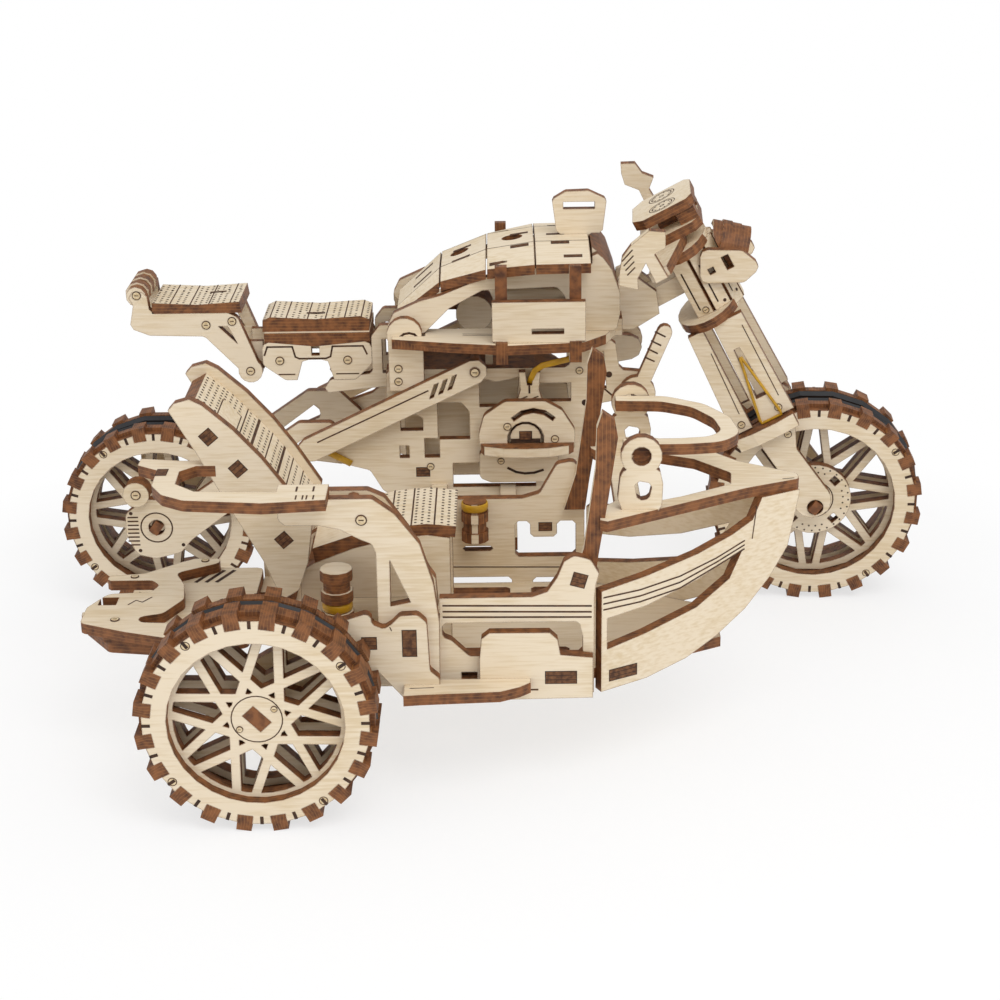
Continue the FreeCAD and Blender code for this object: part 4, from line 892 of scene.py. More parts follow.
@dataclass
class FootLevers:
    """Straight lever with a round eye on each side, on a stud from the frame."""

    palette: Palette
    eye: Point = (44.9, 78.3)
    eye_r: float = 5.5
    tip: Point = (52.9, 97.6)
    half_wide: float = 2.2
    near_y: float = 27.3
    frame_y: float = 37.0
    stud_r: float = 2.4
    ticks: tuple[tuple[Point, Point], ...] = (
        ((49.9, 97.9), (53.0, 96.3)), ((48.8, 95.1), (51.7, 93.6)), ((47.8, 92.6), (50.7, 91.1)),
        ((46.9, 90.0), (49.8, 88.6)))

    def outline(self) -> Array:
        """Eye and lever in one line: the eye's arc, broken by the lever, then the arc of the tip."""
        run = np.subtract(self.tip, self.eye)
        turn = math.atan2(run[1], run[0])
        open_by = math.asin(self.half_wide / self.eye_r)
        t = np.linspace(turn + open_by, turn + 2 * math.pi - open_by, 18)
        c = np.linspace(turn - math.pi / 2, turn + math.pi / 2, 7)
        ring, cap = self.eye_r * unit(t), self.half_wide * unit(c)
        return np.concatenate([np.array(self.eye) + ring, np.array(self.tip) + cap])

    def build(self) -> None:
        """Makes both levers and the marks on the near one."""
        pieces = CutPieces("foot_lever_pair", self.palette)
        stud = np.array(self.eye) + self.stud_r * unit(np.linspace(0, 2 * math.pi, 16, endpoint=False))
        back, across = self.near_y + PLY, 2 * MIDDLE_Y
        for y in (self.near_y, across - back):
            pieces.add(Plane.side(y), self.outline())
        for low, high in ((back, self.frame_y), (across - self.frame_y, across - back)):
            pieces.add(Plane.side(low), stud, high - low)
        pieces.finish("chassis", "foot_levers")
        marks = Marks("lever_marks", "chassis", self.palette)
        lever = Plane.side(self.near_y)
        for tick in self.ticks:
            marks.lines(lever, tick, 0.5)
        marks.discs(lever, [self.eye], 2.1)
        marks.finish()


@dataclass
class Headlamp:
    """Round plates of sheet, stacked along a line that points ahead and a little down."""

    palette: Palette
    fork: ForkAxes
    front: Point = (16.7, 82.4)
    slope: Point = (0.774, -0.632)
    radii: tuple[float, ...] = (7.9, 8.2, 8.5, 8.0)
    step: float = 2.95
    clear: float = 10.75

    def build(self) -> None:
        """Makes the plates; what would reach the drum is cut off flat."""
        fork = self.fork
        pieces = CutPieces("headlamp_plates", self.palette)
        out = self.slope[0] * fork.ahead + self.slope[1] * fork.up
        rise = -self.slope[1] * fork.ahead + self.slope[0] * fork.up
        t = np.linspace(0, 2 * math.pi, 28, endpoint=False)
        for k, radius in enumerate(self.radii):
            middle = fork.origin + self.front[0] * fork.ahead + self.front[1] * fork.up - k * self.step * out
            disc = middle + radius * unit(t) @ np.stack([fork.left, rise])
            ends = [disc, disc - self.step * out]
            for n, ring in enumerate(ends):
                short = np.maximum(self.clear - fork.local(ring)[:, 0], 0.0)
                ends[n] = ring + short[:, None] * fork.ahead
            pieces.prism(ends[0], ends[1], self.step)
        pieces.finish("steering", "headlamp")


@dataclass
class DialPlates:
    """Two chamfered level plates over the handlebar, with posts between them."""

    palette: Palette
    fork: ForkAxes
    low_top: float = 101.8
    high_top: float = 109.0
    low: tuple[Point, ...] = (
        (-10.0, -8.0), (-6.0, -12.0), (7.5, -12.0), (10.0, -9.0),
        (10.0, 9.0), (7.5, 12.0), (-6.0, 12.0), (-10.0, 8.0))
    high: tuple[Point, ...] = (
        (-9.0, -7.5), (-5.5, -11.5), (9.0, -11.5), (11.0, -8.5),
        (11.0, 8.5), (9.0, 11.5), (-5.5, 11.5), (-9.0, 7.5))
    posts: tuple[Point, ...] = ((-3.0, -3.0), (4.0, -10.0), (4.0, 4.0))
    post: float = 6.0
    dial_x: float = 1.2
    dial_y: float = 5.4

    def build(self) -> None:
        """Makes the plates, their posts and the dials."""
        pieces = CutPieces("dial_plates", self.palette)
        fork = self.fork
        low, under, high = (Plane(fork.origin + z * fork.up, fork.ahead, fork.left, fork.up)
                            for z in (self.low_top, self.high_top - PLY, self.high_top))
        pieces.add(low, self.low)
        pieces.add(high, self.high)
        for x, y in self.posts:
            corners = [(x, y), (x + self.post, y), (x + self.post, y + self.post), (x, y + self.post)]
            pieces.add(under, corners, self.high_top - PLY - self.low_top)
        pieces.finish("steering", "instrument_panel")
        marks = Marks("dial_marks", "steering", self.palette)
        for y in (-self.dial_y, self.dial_y):
            for radius in (4.3, 3.4, 0.7):
                marks.circle(high, (self.dial_x, y), radius, 0.3)
            for turn in unit(np.radians(np.arange(0.0, 360.0, 36.0))):
                middle = np.array([self.dial_x, y])
                marks.lines(high, [middle + 3.4 * turn, middle + 2.5 * turn], 0.3)
        marks.lines(low, [(-8.0, -6.0), (-4.8, -9.4)], 0.4)
        marks.finish()


@dataclass
class TankPostFeet:
    """Feet of the tank's posts, standing in front of the level plate's edge."""

    palette: Palette
    places: tuple[float, ...] = (2.0, 24.2)
    wide: float = 3.6
    near_y: tuple[float, ...] = (22.85, 24.2)
    back_y: float = 28.2
    bottom: float = 89.6
    top: float = 96.0

    def build(self) -> None:
        """Makes four feet as sheets that lie across the bike."""
        pieces = CutPieces("tank_post_feet", self.palette)
        for x, near in zip(self.places, self.near_y):
            on = Plane(np.array([x + self.wide, 0.0, RISE]), Y, Z, X)
            back, low, high = self.back_y, self.bottom, self.top
            outline = [(near, low), (back, low), (back, high), (near, high)]
            pieces.add(on, outline, self.wide)
            pieces.add(on, [(2 * MIDDLE_Y - y, z) for y, z in outline], self.wide)
        pieces.finish("chassis")


@dataclass
class TankDetail:
    """Joints of the laths, tabs and kerfs of the tank."""

    palette: Palette
    skin: TankSkin = field(default_factory=lambda: TankSkin(np.array([
        [-28.5, 101.0, 12.0, 2.0], [-14.8, 113.3, 17.0, 2.6], [-0.5, 118.8, 22.5, 3.0], [14.2, 121.0, 26.0, 3.0],
        [31.0, 121.2, 26.0, 3.0]])))
    tab: Point = (5.6, 2.0)
    tabs: tuple[Point, ...] = (
        (3.6, 69.4), (9.6, 60.6), (9.6, 46.4), (3.2, 37.4), (20.8, 56.4), (22.0, 46.6), (25.6, 36.8),
        (-8.2, 60.6), (-8.4, 48.4), (-20.5, 52.6), (-20.3, 62.0), (21.4, 69.6))
    pivot_y: float = 34.0
    rail_z: float = 95.5

    def build(self) -> None:
        """Draws the marks."""
        marks = Marks("tank_marks", "chassis", self.palette)
        joints = (-28.0, -14.9, -14.7, -0.6, -0.4, 14.1, 14.3, 30.6)
        for y in (MIDDLE_Y - self.skin.flat, MIDDLE_Y + self.skin.flat):
            for first, last in zip(joints[::2], joints[1::2]):
                marks.lines(self.skin, [(first, y), (last, y)], 0.3)
        long, wide = self.tab
        marks.tenons(self.skin, [(x - long / 2, x + long / 2, y - wide / 2, y + wide / 2)
                                 for x, y in self.tabs])
        for pivot in (Plane.side(self.pivot_y), Plane.side(self.pivot_y).across()):
            arc = [(-27.1, 95.3), (-25.9, 96.2), (-24.3, 96.5), (-22.7, 96.1), (-21.6, 94.9)]
            marks.lines(pivot, arc, 0.7)
            marks.pins(pivot, [(-27.9, 85.2), (-28.0, 81.1)])
        for y in (34.2, 35.6):
            marks.lines(Plane.top(self.rail_z), [(-8, y), (1.5, y - 0.8)], 0.35)
        marks.finish()


@dataclass
class FrameDetail:
    """Pins, kerfs and engraved lines on the frame, the engine covers and the arms."""

    palette: Palette
    arm_y: float = 31.0
    frame_y: float = 37.0
    cover_y: float = 30.0
    low_cover_y: float = 34.0
    clip_y: float = 33.5
    hub_y: float = 40.0
    shaft_out: float = 0.5
    dial_out: float = 0.8

    def build(self) -> None:
        """Draws the marks."""
        marks = Marks("frame_marks", "chassis", self.palette)
        self.bike_side(marks, Plane.side)
        self.bike_side(marks, lambda y: Plane.side(y).across())
        marks.finish()

    def bike_side(self, marks: Marks, side: Callable[[float], Plane]) -> None:
        """Marks of one side of the bike."""
        arm, frame_side = side(self.arm_y), side(self.frame_y)
        marks.pins(side(self.arm_y - self.shaft_out), [(-4.5, 84.8)], 1.5)
        marks.lines(arm, [(-53.5, 62.7), (-18.9, 79.0)], 0.45)
        marks.lines(frame_side, [(35.4, 76.8), (39.2, 73.4), (44.5, 73.9)], 0.55)
        marks.pins(frame_side, [(27.6, 82.9), (-19.0, 52.0), (24.5, 50.5)], 1.2)
        marks.discs(frame_side, [(36.7, 81.5), (29.3, 72.5)], 1.0)
        marks.tenons(frame_side, [(-27.5, -23.0, 74.5, 77.8), (-23.6, -19.2, 48.6, 51.8),
                                  (16.6, 21.4, 66.6, 69.4)])
        cover, dial = side(self.cover_y), side(self.cover_y + self.dial_out)
        marks.pins(cover, [(5.2, 67.4), (19.8, 63.2)], 1.25)
        marks.tenons(dial, [(8.8, 12.8, 62.6, 65.6)])
        marks.lines(dial, [(6.6, 62.4), (15.0, 62.4)], 1.5, Finish.CHAR_AND_SHADE)
        lower, clip, hub = side(self.low_cover_y), side(self.clip_y), side(self.hub_y)
        marks.pins(lower, [(3.1, 54.6)], 1.1)
        arc = [(5.2, 52.3), (7.8, 50.9), (10.5, 50.4), (13.4, 50.6), (16.2, 51.5)]
        marks.lines(lower, arc, 0.8, Finish.CHAR_AND_SHADE)
        marks.lines(clip, [(12.1, 77.0), (12.1, 79.4)], 0.6, Finish.CHAR_AND_SHADE)
        for x in (9.6, 13.0):
            marks.lines(clip, [(x, 75.2), (x + 1.8, 75.9)], 0.4)
        marks.circle(hub, (-107.1, 31.3), 5.0, 0.45)
        for i in range(8):
            z = 25.4 + 1.35 * i
            marks.lines(hub, [(-116.4 + 0.05 * i, z), (-112.9, z)], 0.5)
        marks.discs(hub, [(-115.0, 36.2), (-112.9, 23.4), (-101.5, 38.6), (-99.0, 25.2)], 0.6)
        marks.pins(side(self.hub_y - PLY), [(-112.3, 43.6)], 1.6)


@dataclass
class SeatDetail:
    """Perforated seat tops, their laths, and the pins of the seat boxes."""

    palette: Palette
    rider: Ribbon = field(default_factory=lambda: Ribbon(np.array([
        [-70.4, 97.0], [-68.0, 98.0], [-54.0, 97.2], [-40.0, 98.0], [-37.2, 97.0]])))
    pillion: Ribbon = field(default_factory=lambda: Ribbon(np.array([
        [-104.0, 103.5], [-90.0, 102.8], [-77.0, 103.6]])))
    box_y: float = 46.3

    def laths(self, marks: Marks, on: Ribbon, length: float, across: Point, seams: list[float],
              tenon: Quad) -> None:
        """Seams across one seat, perforations between them and one tenon end."""
        for u in seams:
            marks.lines(on, [(u, across[0]), (u, across[1])], 0.4)
        marks.tenons(on, [tenon])
        gaps = [(u - 0.75, u + 0.75) for u in seams]
        u0, u1, v0, v1 = tenon
        whole, row = (0.0, length), (v0 - 0.9, v1 + 0.9)
        for u, v in ((whole, (across[0], v0 - 0.3)), (whole, (v1 + 0.3, across[1])),
                     ((0.0, u0 - 0.4), row), ((u1 + 0.4, length), row)):
            marks.dots(on, u, v, gaps)

    def build(self) -> None:
        """Draws the marks."""
        marks = Marks("seat_marks", "chassis", self.palette)
        self.laths(marks, self.rider, 33.4, (48.0, 66.6), [2.6, 7.6, 14.2, 19.8, 25.8, 31.0],
                   (13.4, 19.2, 53.6, 55.3))
        self.laths(marks, self.pillion, 27.0, (46.3, 68.3), [5.6, 11.8, 17.6, 24.2], (16.2, 21.4, 59.0, 60.7))
        for box in (Plane.side(self.box_y), Plane.side(self.box_y).across()):
            self.box_side(marks, box)
        marks.finish()

    def box_side(self, marks: Marks, box: Plane) -> None:
        """Pins and lines on one side of the seat boxes."""
        marks.pins(box, [(-65.5, 84.4), (-44.3, 84.4)], 1.4)
        for x0, x1 in ((-66.0, -61.0), (-48.0, -41.0)):
            marks.lines(box, [(x0, 79.9), (x1, 79.9)], 0.4)
        raised = [(-70.2, 86.2), (-69.2, 88.9), (-61.4, 88.9), (-60.6, 85.6), (-59.4, 85.0), (-51.0, 85.0),
                  (-49.6, 85.6), (-48.9, 88.9), (-39.4, 88.9), (-38.2, 86.2)]
        marks.lines(box, raised, 0.55)
        marks.pins(box, [(-108.5, 106.0), (-87.7, 96.3), (-79.6, 97.4), (-74.8, 81.2)], 1.4)


@dataclass
class WheelDetail:
    """Marks of one wheel: pins and slits on both rings, pins and a circle on the near hub.

    Attributes:
        name: Body of the wheel.
        centre: Hub, at the near face of the near ring.
        u: Forward direction in the wheel's plane.
        v: Upward direction in the wheel's plane.
        radius: Radius of the rings.
        spokes_in: How far the spoke disc lies behind the ring's face.
        wide: From the near ring's face to the far one's.
    """

    name: str
    centre: Array
    u: Array
    v: Array
    radius: float
    spokes_in: float
    wide: float
    palette: Palette

    def around(self, radius: float, angles: list[float]) -> list[Point]:
        """Points at angles clockwise from the top."""
        return [(radius * math.sin(a), radius * math.cos(a)) for a in map(math.radians, angles)]

    def build(self) -> None:
        """Draws the marks."""
        marks = Marks(f"{self.name}_marks", self.name, self.palette)
        out = -np.cross(self.v, self.u)
        face = Plane(self.centre, self.u, self.v, out)
        for ring in (face, Plane(self.centre - out * self.wide, self.u, self.v, -out)):
            marks.pins(ring, self.around(self.radius - 1.7, [54.0, 144.0, 234.0, 324.0]), 1.25, 0.04)
            for k in range(LUGS):
                low, high = (self.around(self.radius - r, [360.0 / LUGS * k])[0] for r in (2.3, 0.45))
                marks.lines(ring, [low, high], 0.9, Finish.CHAR_AND_SHADE)
        hub = Plane(self.centre - out * self.spokes_in, self.u, self.v, out)
        marks.pins(hub, self.around(5.4, [58.0, 238.0]), 0.9)
        marks.circle(hub, (0.0, 0.0), 6.6, 0.3)
        marks.finish()


@dataclass
class ForkDetail:
    """Pins, slots and grip ticks of the fork."""

    palette: Palette
    fork: ForkAxes
    slat_out: float = 10.42
    cover_out: float = 14.0
    grip_out: float = 34.0

    def side(self, y: float) -> Plane:
        """Plane across the fork's left direction, facing the sidecar."""
        return Plane(self.fork.origin + y * self.fork.left, self.fork.ahead, self.fork.up, -self.fork.left)

    def slat(self, turn: float) -> Plane:
        """Outer face of the drum's slat at an angle from ahead, towards the left."""
        c, s = math.cos(math.radians(turn)), math.sin(math.radians(turn))
        out = c * self.fork.ahead + s * self.fork.left
        return Plane(self.fork.origin + out * self.slat_out, np.cross(self.fork.up, out), self.fork.up, out)

    def build(self) -> None:
        """Draws the marks."""
        marks = Marks("fork_marks", "steering", self.palette)
        near = self.side(-self.cover_out)
        far = Plane(self.fork.origin + self.cover_out * self.fork.left, near.u, near.v, -near.out)
        for cover in (near, far):
            marks.pins(cover, [(3.3, 26.8), (-8.2, 36.4), (4.6, 36.4)], 1.25)
            for line in ([(-6.0, 62.0), (-7.2, 40.0)], [(6.6, 66.0), (6.4, 40.0)]):
                marks.lines(cover, line, 0.3)
        for turn in (-102.0, -68.0, -34.0, 0.0):
            slat = self.slat(turn)
            marks.lines(slat, [(-0.9, 75.0), (-0.9, 88.0)], 0.5, Finish.CHAR_AND_SHADE)
            marks.discs(slat, [(1.2, 74.2)], 0.55)
        marks.pins(self.slat(-102.0), [(0.8, 74.4)], 1.1)
        grip = self.side(-self.grip_out)
        for k in range(4):
            marks.lines(grip, [(-13.6 - 0.2 * k, 106.6 - 1.5 * k), (-9.4 - 0.6 * k, 108.2 - 1.7 * k)], 0.4)
        marks.finish()


@dataclass
class BrakeDetail:
    """Perforations of the front brake disc, left out over its four slots."""

    palette: Palette
    centre: Array
    u: Array
    v: Array
    radius: float = 12.0
    holes: int = 28
    slots_out: float = 10.8
    slot_half_deg: float = 13.0

    def build(self) -> None:
        """Draws two rings of holes and an engraved circle."""
        marks = Marks("brake_marks", "front_wheel", self.palette)
        face = Plane(self.centre, self.u, self.v, -np.cross(self.v, self.u))
        for radius, start in ((self.radius - 0.9, 0.0), (self.radius - 2.6, 6.43)):
            turns = start + np.arange(self.holes) * 360.0 / self.holes
            if radius < self.slots_out:
                turns = turns[np.abs(np.mod(turns, 90.0) - 45.0) > self.slot_half_deg]
            ring = radius * unit(np.radians(turns))
            marks.discs(face, ring, 0.32, Finish.CHAR_AND_SHADE, 6)
        marks.circle(face, (0.0, 0.0), 6.2, 0.35)
        marks.finish()


@dataclass
class HullDetail:
    """Engraved lines, tenons and pins of the sidecar's hull, fender, carrier and rack."""

    palette: Palette
    near: float = -68.5
    fender: float = -71.5
    carrier: float = -74.5
    far: float = -8.5
    bow_x: float = 28.0
    bow_run: float = 56.0
    bow_half: float = 29.5
    bow_gap: float = 0.35
    lines_close_from: float = 30.0

    def bow(self) -> Plane:
        """Outer face of the near bow plate; u runs along the plate from the hull."""
        turn = math.atan2(self.bow_half, self.bow_run)
        c, s = math.cos(turn), math.sin(turn)
        x = self.bow_x + self.bow_gap + PLY * s + CAR_SHIFT[0]
        spot = np.array([x, self.near + CAR_SHIFT[1], RISE])
        return Plane(spot, np.array([c, s, 0.0]), Z, np.array([s, -c, 0.0]))

    def build(self) -> None:
        """Draws the marks."""
        marks = Marks("hull_marks", "chassis", self.palette)
        near, fender, carrier, far = (Plane.side(y).on_car()
                                      for y in (self.near, self.fender, self.carrier, self.far))
        for left, right in ((53.4, 52.8), (51.7, 51.1), (50.1, 49.6)):
            marks.lines(near, [(-11.7, left), (27.2, right)], 0.5)
        marks.tenons(near, [(22.0, 26.0, 58.2, 62.2)], -16.0)
        marks.tenons(fender, [(14.9, 23.4, 31.6, 35.4)])
        marks.lines(fender, [(1.4, 30.0), (13.0, 30.0)], 0.5)
        bow = self.bow()
        lines = [(0.8, 54.9), (12.0, 54.7), (24.5, 55.9), (36.0, 58.7), (45.0, 61.9)]
        for drop in (0.0, 1.8, 3.5):
            marks.lines(bow, [(u, z - drop * (1.0 if u < self.lines_close_from else 0.7)) for u, z in lines], 0.45)
        marks.tenons(bow, [(2.6, 11.4, 29.9, 33.4)])
        marks.lines(bow, [(47.5, 62.0), (48.6, 71.2)], 0.35)
        marks.pins(fender, [(-31.9, 79.2)], 1.5)
        marks.lines(fender, [(-22.4, 30.4), (-13.4, 30.4)], 0.35)
        marks.tenons(carrier, [(-33.0, -28.9, 43.8, 47.5), (-22.4, -18.5, 41.6, 49.4)])
        marks.lines(carrier, [(-25.4, 50.2), (-25.0, 49.2)], 0.3)
        marks.tenons(far, [(14.6, 18.6, 49.2, 52.0)])
        marks.lines(far, [(-14.4, 38.2), (20.9, 37.7)], 0.35)
        self.level_marks(marks)
        marks.finish()

    def level_marks(self, marks: Marks) -> None:
        """Marks on the rack, the rim, the footboard and the grab bar."""
        rack = Plane.top(42.0).on_car()
        marks.pins(rack, [(-82.8, -10.4), (-101.5, -21.4)], 1.2)
        marks.lines(rack, [(-100.1, -40.5), (-98.4, -37.6), (-96.4, -38.9), (-94.3, -35.6)], 0.4)
        marks.pins(rack, [(-102.0, -50.2)], 1.3)
        lower = Plane.top(39.0).on_car()
        for x in (-84.5, -81.5, -78.5):
            marks.lines(lower, [(x, -19.0), (x + 4.0, -11.0)], 1.2, Finish.CHAR_AND_SHADE)
        rim = Plane.top(76.4).on_car()
        marks.lines(rim, [(80.5, -39.2), (83.6, -38.6)], 0.4)
        bar = Plane.top(88.0).on_car()
        marks.tenons(bar, [(-85.8, -82.8, -61.0, -56.0)])
        for places, y0, y1, width in (((-47.6, -45.9, -44.9, -43.2), -78.9, -76.2, 0.4),
                                      ((-47.9, -43.6), -73.4, -70.2, 0.5)):
            for x in places:
                marks.lines(bar, [(x, y0), (x, y1)], width)
        board = Plane.top(33.4).on_car()
        marks.lines(board, [(-20.6, -76.6), (-14.4, -76.3)], 0.35)


@dataclass
class SidecarSeatDetail:
    """Perforated laths of the sidecar's seat, and the tenons through its sides."""

    palette: Palette
    back: Ribbon = field(default_factory=lambda: Ribbon(np.array([
        [-76.5, 103.6], [-70.0, 98.0], [-58.0, 84.5], [-48.6, 70.5]]), CAR_SHIFT))
    cushion: Ribbon = field(default_factory=lambda: Ribbon(np.array([
        [-47.0, 62.5], [-36.0, 66.2], [-25.0, 68.5], [-16.0, 69.2], [-8.2, 68.4]]), CAR_SHIFT))
    across: Point = (-50.9, -23.1)

    def build(self) -> None:
        """Draws the marks."""
        marks = Marks("sidecar_seat_marks", "chassis", self.palette)
        v0, v1 = self.across
        seams = [(15.2, 0.4), (19.6, 0.9), (24.8, 0.4), (30.0, 0.9), (34.0, 0.4), (38.6, 0.4)]
        for u, width in seams:
            marks.lines(self.back, [(u, v0 + 0.2), (u, v1 - 0.2)], width)
        a, b, c, d = 7.2, 14.0, v0 + 6.5, v1 - 9.0
        marks.lines(self.back, [(a, c), (b, c), (b, d), (a, d), (a, c)], 0.35)
        gaps = [(u - 0.85, u + 0.85) for u, _ in seams]
        beside = (a - 0.2, b + 0.4)
        for u, v in (((0.4, a), self.across), (beside, (v0, c - 0.2)), (beside, (d + 0.2, v1)),
                     ((b, 43.2), self.across)):
            marks.dots(self.back, u, v, gaps)
        cuts = [22.0, 27.6, 33.8]
        for u in cuts:
            marks.lines(self.cushion, [(u, v0 + 0.4), (u, v1 - 0.4)], 0.45)
        marks.dots(self.cushion, (12.0, 40.0), (v0 + 0.4, v1 - 0.4), [(u - 0.8, u + 0.8) for u in cuts])
        side = Plane.side(-54.0).on_car()
        half = 1.9
        for x, z in ((-72.3, 96.0), (-65.1, 87.0), (-54.1, 66.6)):
            marks.tenons(side, [(x - half, x + half, z - half, z + half)], 40.0)
        marks.finish()


@dataclass
class RubberBands:
    palette: Palette
    fork: ForkAxes
    sides: int = 8
    loop_out: float = 14.4

    def sweep(self, name: str, path: Array, across: Point3, half_wide: float, half_thick: float,
              closed: bool = True, body: str = "chassis", node: str = "") -> None:
        """Carries an ellipse along a path.

        The section is half_wide * cos(a) along the fixed direction across and half_thick *
        sin(a) along the path's own normal, which is the tangent crossed with across.

        Args:
            name: Name of the piece.
            path: Points of the frame in millimetres.
            across: Direction of the strip's width.
            half_wide: Half the strip's width.
            half_thick: Half its thickness.
            closed: Whether the last point runs on to the first.
            body: Body it rides on.
            node: CAD node it stands for.
        """
        count = len(path)
        tangent = np.roll(path, -1, axis=0) - np.roll(path, 1, axis=0)
        if not closed:
            tangent[0], tangent[-1] = path[1] - path[0], path[-1] - path[-2]
        tangent /= np.linalg.norm(tangent, axis=1, keepdims=True)
        wide = np.array(across, float)
        normal = np.cross(tangent, wide)
        section = unit(np.linspace(0, 2 * math.pi, self.sides, endpoint=False)) * (half_wide, half_thick)
        spots = path[:, None] + section[None, :, :1] * wide + section[None, :, 1:] * normal[:, None]
        i, j = np.meshgrid(np.arange(count if closed else count - 1), np.arange(self.sides), indexing="ij")
        k, m = (i + 1) % count, (j + 1) % self.sides
        i, k = i * self.sides, k * self.sides
        quads = np.stack([i + j, i + m, k + m, k + j], axis=-1)
        faces = quads.reshape(-1, 4).tolist()
        if not closed:
            ring = list(range(self.sides))
            faces += [ring[::-1], [(count - 1) * self.sides + j for j in ring]]
        mesh = bpy.data.meshes.new(name)
        mesh.from_pydata((spots.reshape(-1, 3) * MM).tolist(), [], faces)
        mesh.polygons.foreach_set("use_smooth", np.ones(len(mesh.polygons), bool))
        mesh.materials.append(self.palette.get(Finish.YELLOW))
        item = placed(name, mesh)
        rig.ride(item, body)
        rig.slot(item, "rubber_yellow")
        if node:
            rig.replaces(item, node)
        log.info("band %s", name)

    def side_path(self, points: list[Point], y: tuple[float, ...]) -> Array:
        """Points of the frame for a path of (x, z) and its places across the bike."""
        flat = np.array(points, float)
        return np.stack([flat[:, 0], np.array(y), flat[:, 1] + RISE], axis=1)

    def build(self) -> None:
        """Makes the bands."""
        arm = [(-56.4, 61.0), (-50.1, 57.2), (-43.8, 53.4)]
        self.sweep("arm_band", self.side_path(arm, (35.4, 36.0, 36.68)), ACROSS, 0.3, 1.1, False)
        clip = [(12.2, 79.9), (12.8, 82.2), (13.8, 84.6), (16.2, 86.4), (19.9, 87.3), (25.4, 88.7)]
        clip_y = (34.4, 33.1, 32.2, 31.6, 31.6, 31.5)
        self.sweep("clip_band", self.side_path(clip, clip_y), ACROSS, 0.3, 1.0, False)
        fork = self.fork
        corners = np.array([(1.5, 58.0), (-2.6, 34.0), (4.8, 34.0)])
        share = np.linspace(0.05, 0.95, 8)[:, None]
        edges = zip(corners, np.roll(corners, -1, axis=0))
        flat = np.concatenate([a + (b - a) * share for a, b in edges])
        path = fork.origin + flat[:, :1] * fork.ahead + flat[:, 1:] * fork.up - self.loop_out * fork.left
        self.sweep("fork_loop", path, tuple(fork.left), 0.4, 0.45, body="steering", node="fork_band")
        turns = unit(np.linspace(0, 2 * math.pi, 24, endpoint=False))
        for name, x, y, z, radius in (("shock_band", -40.0, -60.5, 50.5, 3.8),
                                      ("stack_band", -3.8, -12.5, 59.2, 3.6)):
            flat = np.array([x, y]) + CAR_SHIFT + radius * turns
            ring = np.concatenate([flat, np.full((len(flat), 1), z + RISE)], axis=1)
            self.sweep(name, ring, UPWARD, 1.2, 0.32)


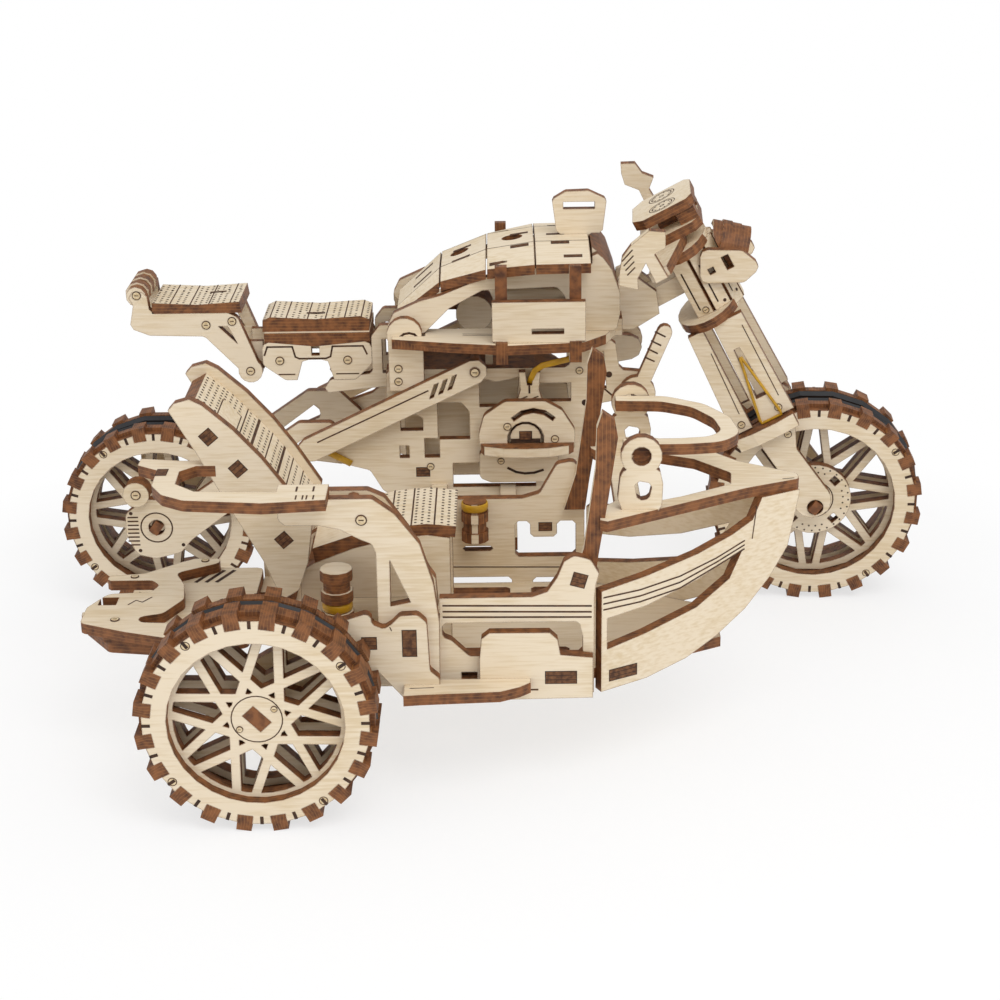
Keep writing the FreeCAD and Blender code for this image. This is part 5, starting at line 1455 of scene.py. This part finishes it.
@dataclass
class Studio:
    """Pale floor, soft light and the camera at the photo's view."""

    place: tuple[float, float, float] = (4.125, -531.591, 266.802)
    right: tuple[float, float, float] = (0.9999071, -0.00262183, -0.01337688)
    upward: tuple[float, float, float] = (0.01339769, 0.36995681, 0.92895235)
    forward: tuple[float, float, float] = (-0.00251332, 0.92904525, -0.36995756)
    lens: float = 69.75
    sensor: float = 36.0
    floor_half_m: float = 6.0
    white_from_m: float = 0.1
    white_over_m: float = 0.14
    white_near: float = 0.68
    world_strength: float = 0.74
    key_power: float = 4.4
    fill_share: float = 0.26
    aim_m: Point3 = (0.0, 0.0, 0.05)

    def floor(self) -> None:
        """White floor that also is the backdrop."""
        half = self.floor_half_m
        corners = [(-half, -half, 0), (half, -half, 0), (half, half, 0), (-half, half, 0)]
        mesh = bpy.data.meshes.new("floor")
        mesh.from_pydata(corners, [], [(0, 1, 2, 3)])
        mesh.materials.append(self.paper())
        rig.stage(placed("floor", mesh))

    def paper(self) -> bpy.types.Material:
        """White paper that the camera sees as plain white away from the object."""
        n = Nodes("white_paper_sweep")
        value = n.noise((1.0, 1.0, 1.0), 3.0, 2.0)
        shader = n.add("ShaderNodeBsdfDiffuse")
        n.join(n.ramp(value, [(0.0, "#FAFAFB"), (1.0, "#FDFDFD")]), shader.inputs["Color"])
        glow = n.add("ShaderNodeEmission")
        glow.inputs["Color"].default_value = (1, 1, 1, 1)
        place = n.add("ShaderNodeTexCoord").outputs["Object"]
        length = n.add("ShaderNodeVectorMath", operation="LENGTH")
        n.join(place, length.inputs[0])
        far = n.math("SUBTRACT", length.outputs["Value"], self.white_from_m)
        share = n.math("MULTIPLY", far, 1 / self.white_over_m)
        share = n.math("MINIMUM", n.math("MAXIMUM", share, self.white_near), 1.0)
        path = n.add("ShaderNodeLightPath")
        seen = n.math("MAXIMUM", path.outputs["Is Camera Ray"], path.outputs["Is Glossy Ray"])
        seen = n.math("MAXIMUM", seen, path.outputs["Is Transmission Ray"])
        blend = n.add("ShaderNodeMixShader")
        n.join(n.math("MULTIPLY", share, seen), blend.inputs[0])
        n.join(shader.outputs[0], blend.inputs[1])
        n.join(glow.outputs[0], blend.inputs[2])
        n.join(blend.outputs[0], n.add("ShaderNodeOutputMaterial").inputs["Surface"])
        return n.material

    def light(self) -> None:
        """Even white world, plain white to the camera, with a large soft key and a weaker fill."""
        world = bpy.data.worlds.new("studio")
        world.use_nodes = True
        tree = world.node_tree
        tree.nodes["Background"].inputs["Color"].default_value = (1, 1, 1, 1)
        path = tree.nodes.new("ShaderNodeLightPath")
        level = tree.nodes.new("ShaderNodeMapRange")
        level.inputs["To Min"].default_value = self.world_strength
        level.inputs["To Max"].default_value = 1.0
        tree.links.new(path.outputs["Is Camera Ray"], level.inputs["Value"])
        tree.links.new(level.outputs["Result"], tree.nodes["Background"].inputs["Strength"])
        bpy.context.scene.world = world
        fill_power = self.key_power * self.fill_share
        for name, spot, power, size in (("key", (0.3, -0.6, 0.95), self.key_power, 0.6),
                                        ("fill", (-0.8, -0.7, 0.5), fill_power, 0.9)):
            lamp = bpy.data.lights.new(name, "AREA")
            lamp.energy = power
            lamp.size = size
            item = placed(name, lamp)
            item.location = spot
            aim = Vector(self.aim_m) - Vector(spot)
            item.rotation_euler = aim.to_track_quat("-Z", "Y").to_euler()

    def camera(self) -> None:
        """Camera where the photo was taken."""
        data = bpy.data.cameras.new("photo_view")
        data.lens = self.lens
        data.sensor_width = self.sensor
        data.clip_start = 0.01
        data.clip_end = 50.0
        item = placed("photo_view", data)
        columns = [self.right, self.upward, tuple(-v for v in self.forward)]
        turn = Matrix(columns).transposed().to_4x4()
        item.matrix_world = Matrix.Translation(Vector(self.place) * MM) @ turn
        bpy.context.scene.camera = item

    def build(self) -> None:
        """Builds the studio."""
        bpy.context.scene.view_settings.view_transform = "Standard"
        self.floor()
        self.light()
        self.camera()


def wheels(palette: Palette, fork: ForkAxes) -> list[WheelDetail | BrakeDetail]:
    """Marks of the three wheels and the brake disc.

    Args:
        palette: Finishes.
        fork: Axes of the steered fork.

    Returns:
        Pieces ready to build.
    """
    spins = [j for j in frame["joints"] if j["name"].endswith("spin")]
    hub = {j["child"]: np.array(j["pos_m"], float) / MM for j in spins}
    turn = math.radians(RAKE)
    ahead = math.cos(turn) * fork.ahead - math.sin(turn) * fork.up
    up = math.sin(turn) * fork.ahead + math.cos(turn) * fork.up
    front, rear, car = hub["front_wheel"], hub["rear_wheel"], hub["sidecar_wheel"]
    wide, narrow, spokes_in, disc_out = 21.0, 16.5, 6.0, 7.5
    large, small = 32.2, 29.5
    return [
        WheelDetail("front_wheel", front - wide / 2 * fork.left, ahead, up, large, spokes_in, wide, palette),
        WheelDetail("rear_wheel", rear - wide / 2 * Y, X, Z, small, spokes_in, wide, palette),
        WheelDetail("sidecar_wheel", car - narrow / 2 * Y, X, Z, small, spokes_in / 2, narrow, palette),
        BrakeDetail(palette, front - disc_out * fork.left, ahead, up)]


def main() -> None:
    """Builds the scene piece by piece."""
    palette = Palette()
    fork = ForkAxes.from_joints(frame["joints"])
    PlyDresser(fork, palette).dress_all(frame["nodes"])
    details = [
        TankDetail(palette), FrameDetail(palette), SeatDetail(palette), HullDetail(palette),
        SidecarSeatDetail(palette), ForkDetail(palette, fork), RubberBands(palette, fork),
        FootLevers(palette), Headlamp(palette, fork), DialPlates(palette, fork), TankPostFeet(palette),
        *wheels(palette, fork)]
    for detail in details:
        detail.build()
        log.info("built %s", type(detail).__name__)
    Studio().build()
    record_size("finished")


if __name__ == "__main__":
    main()
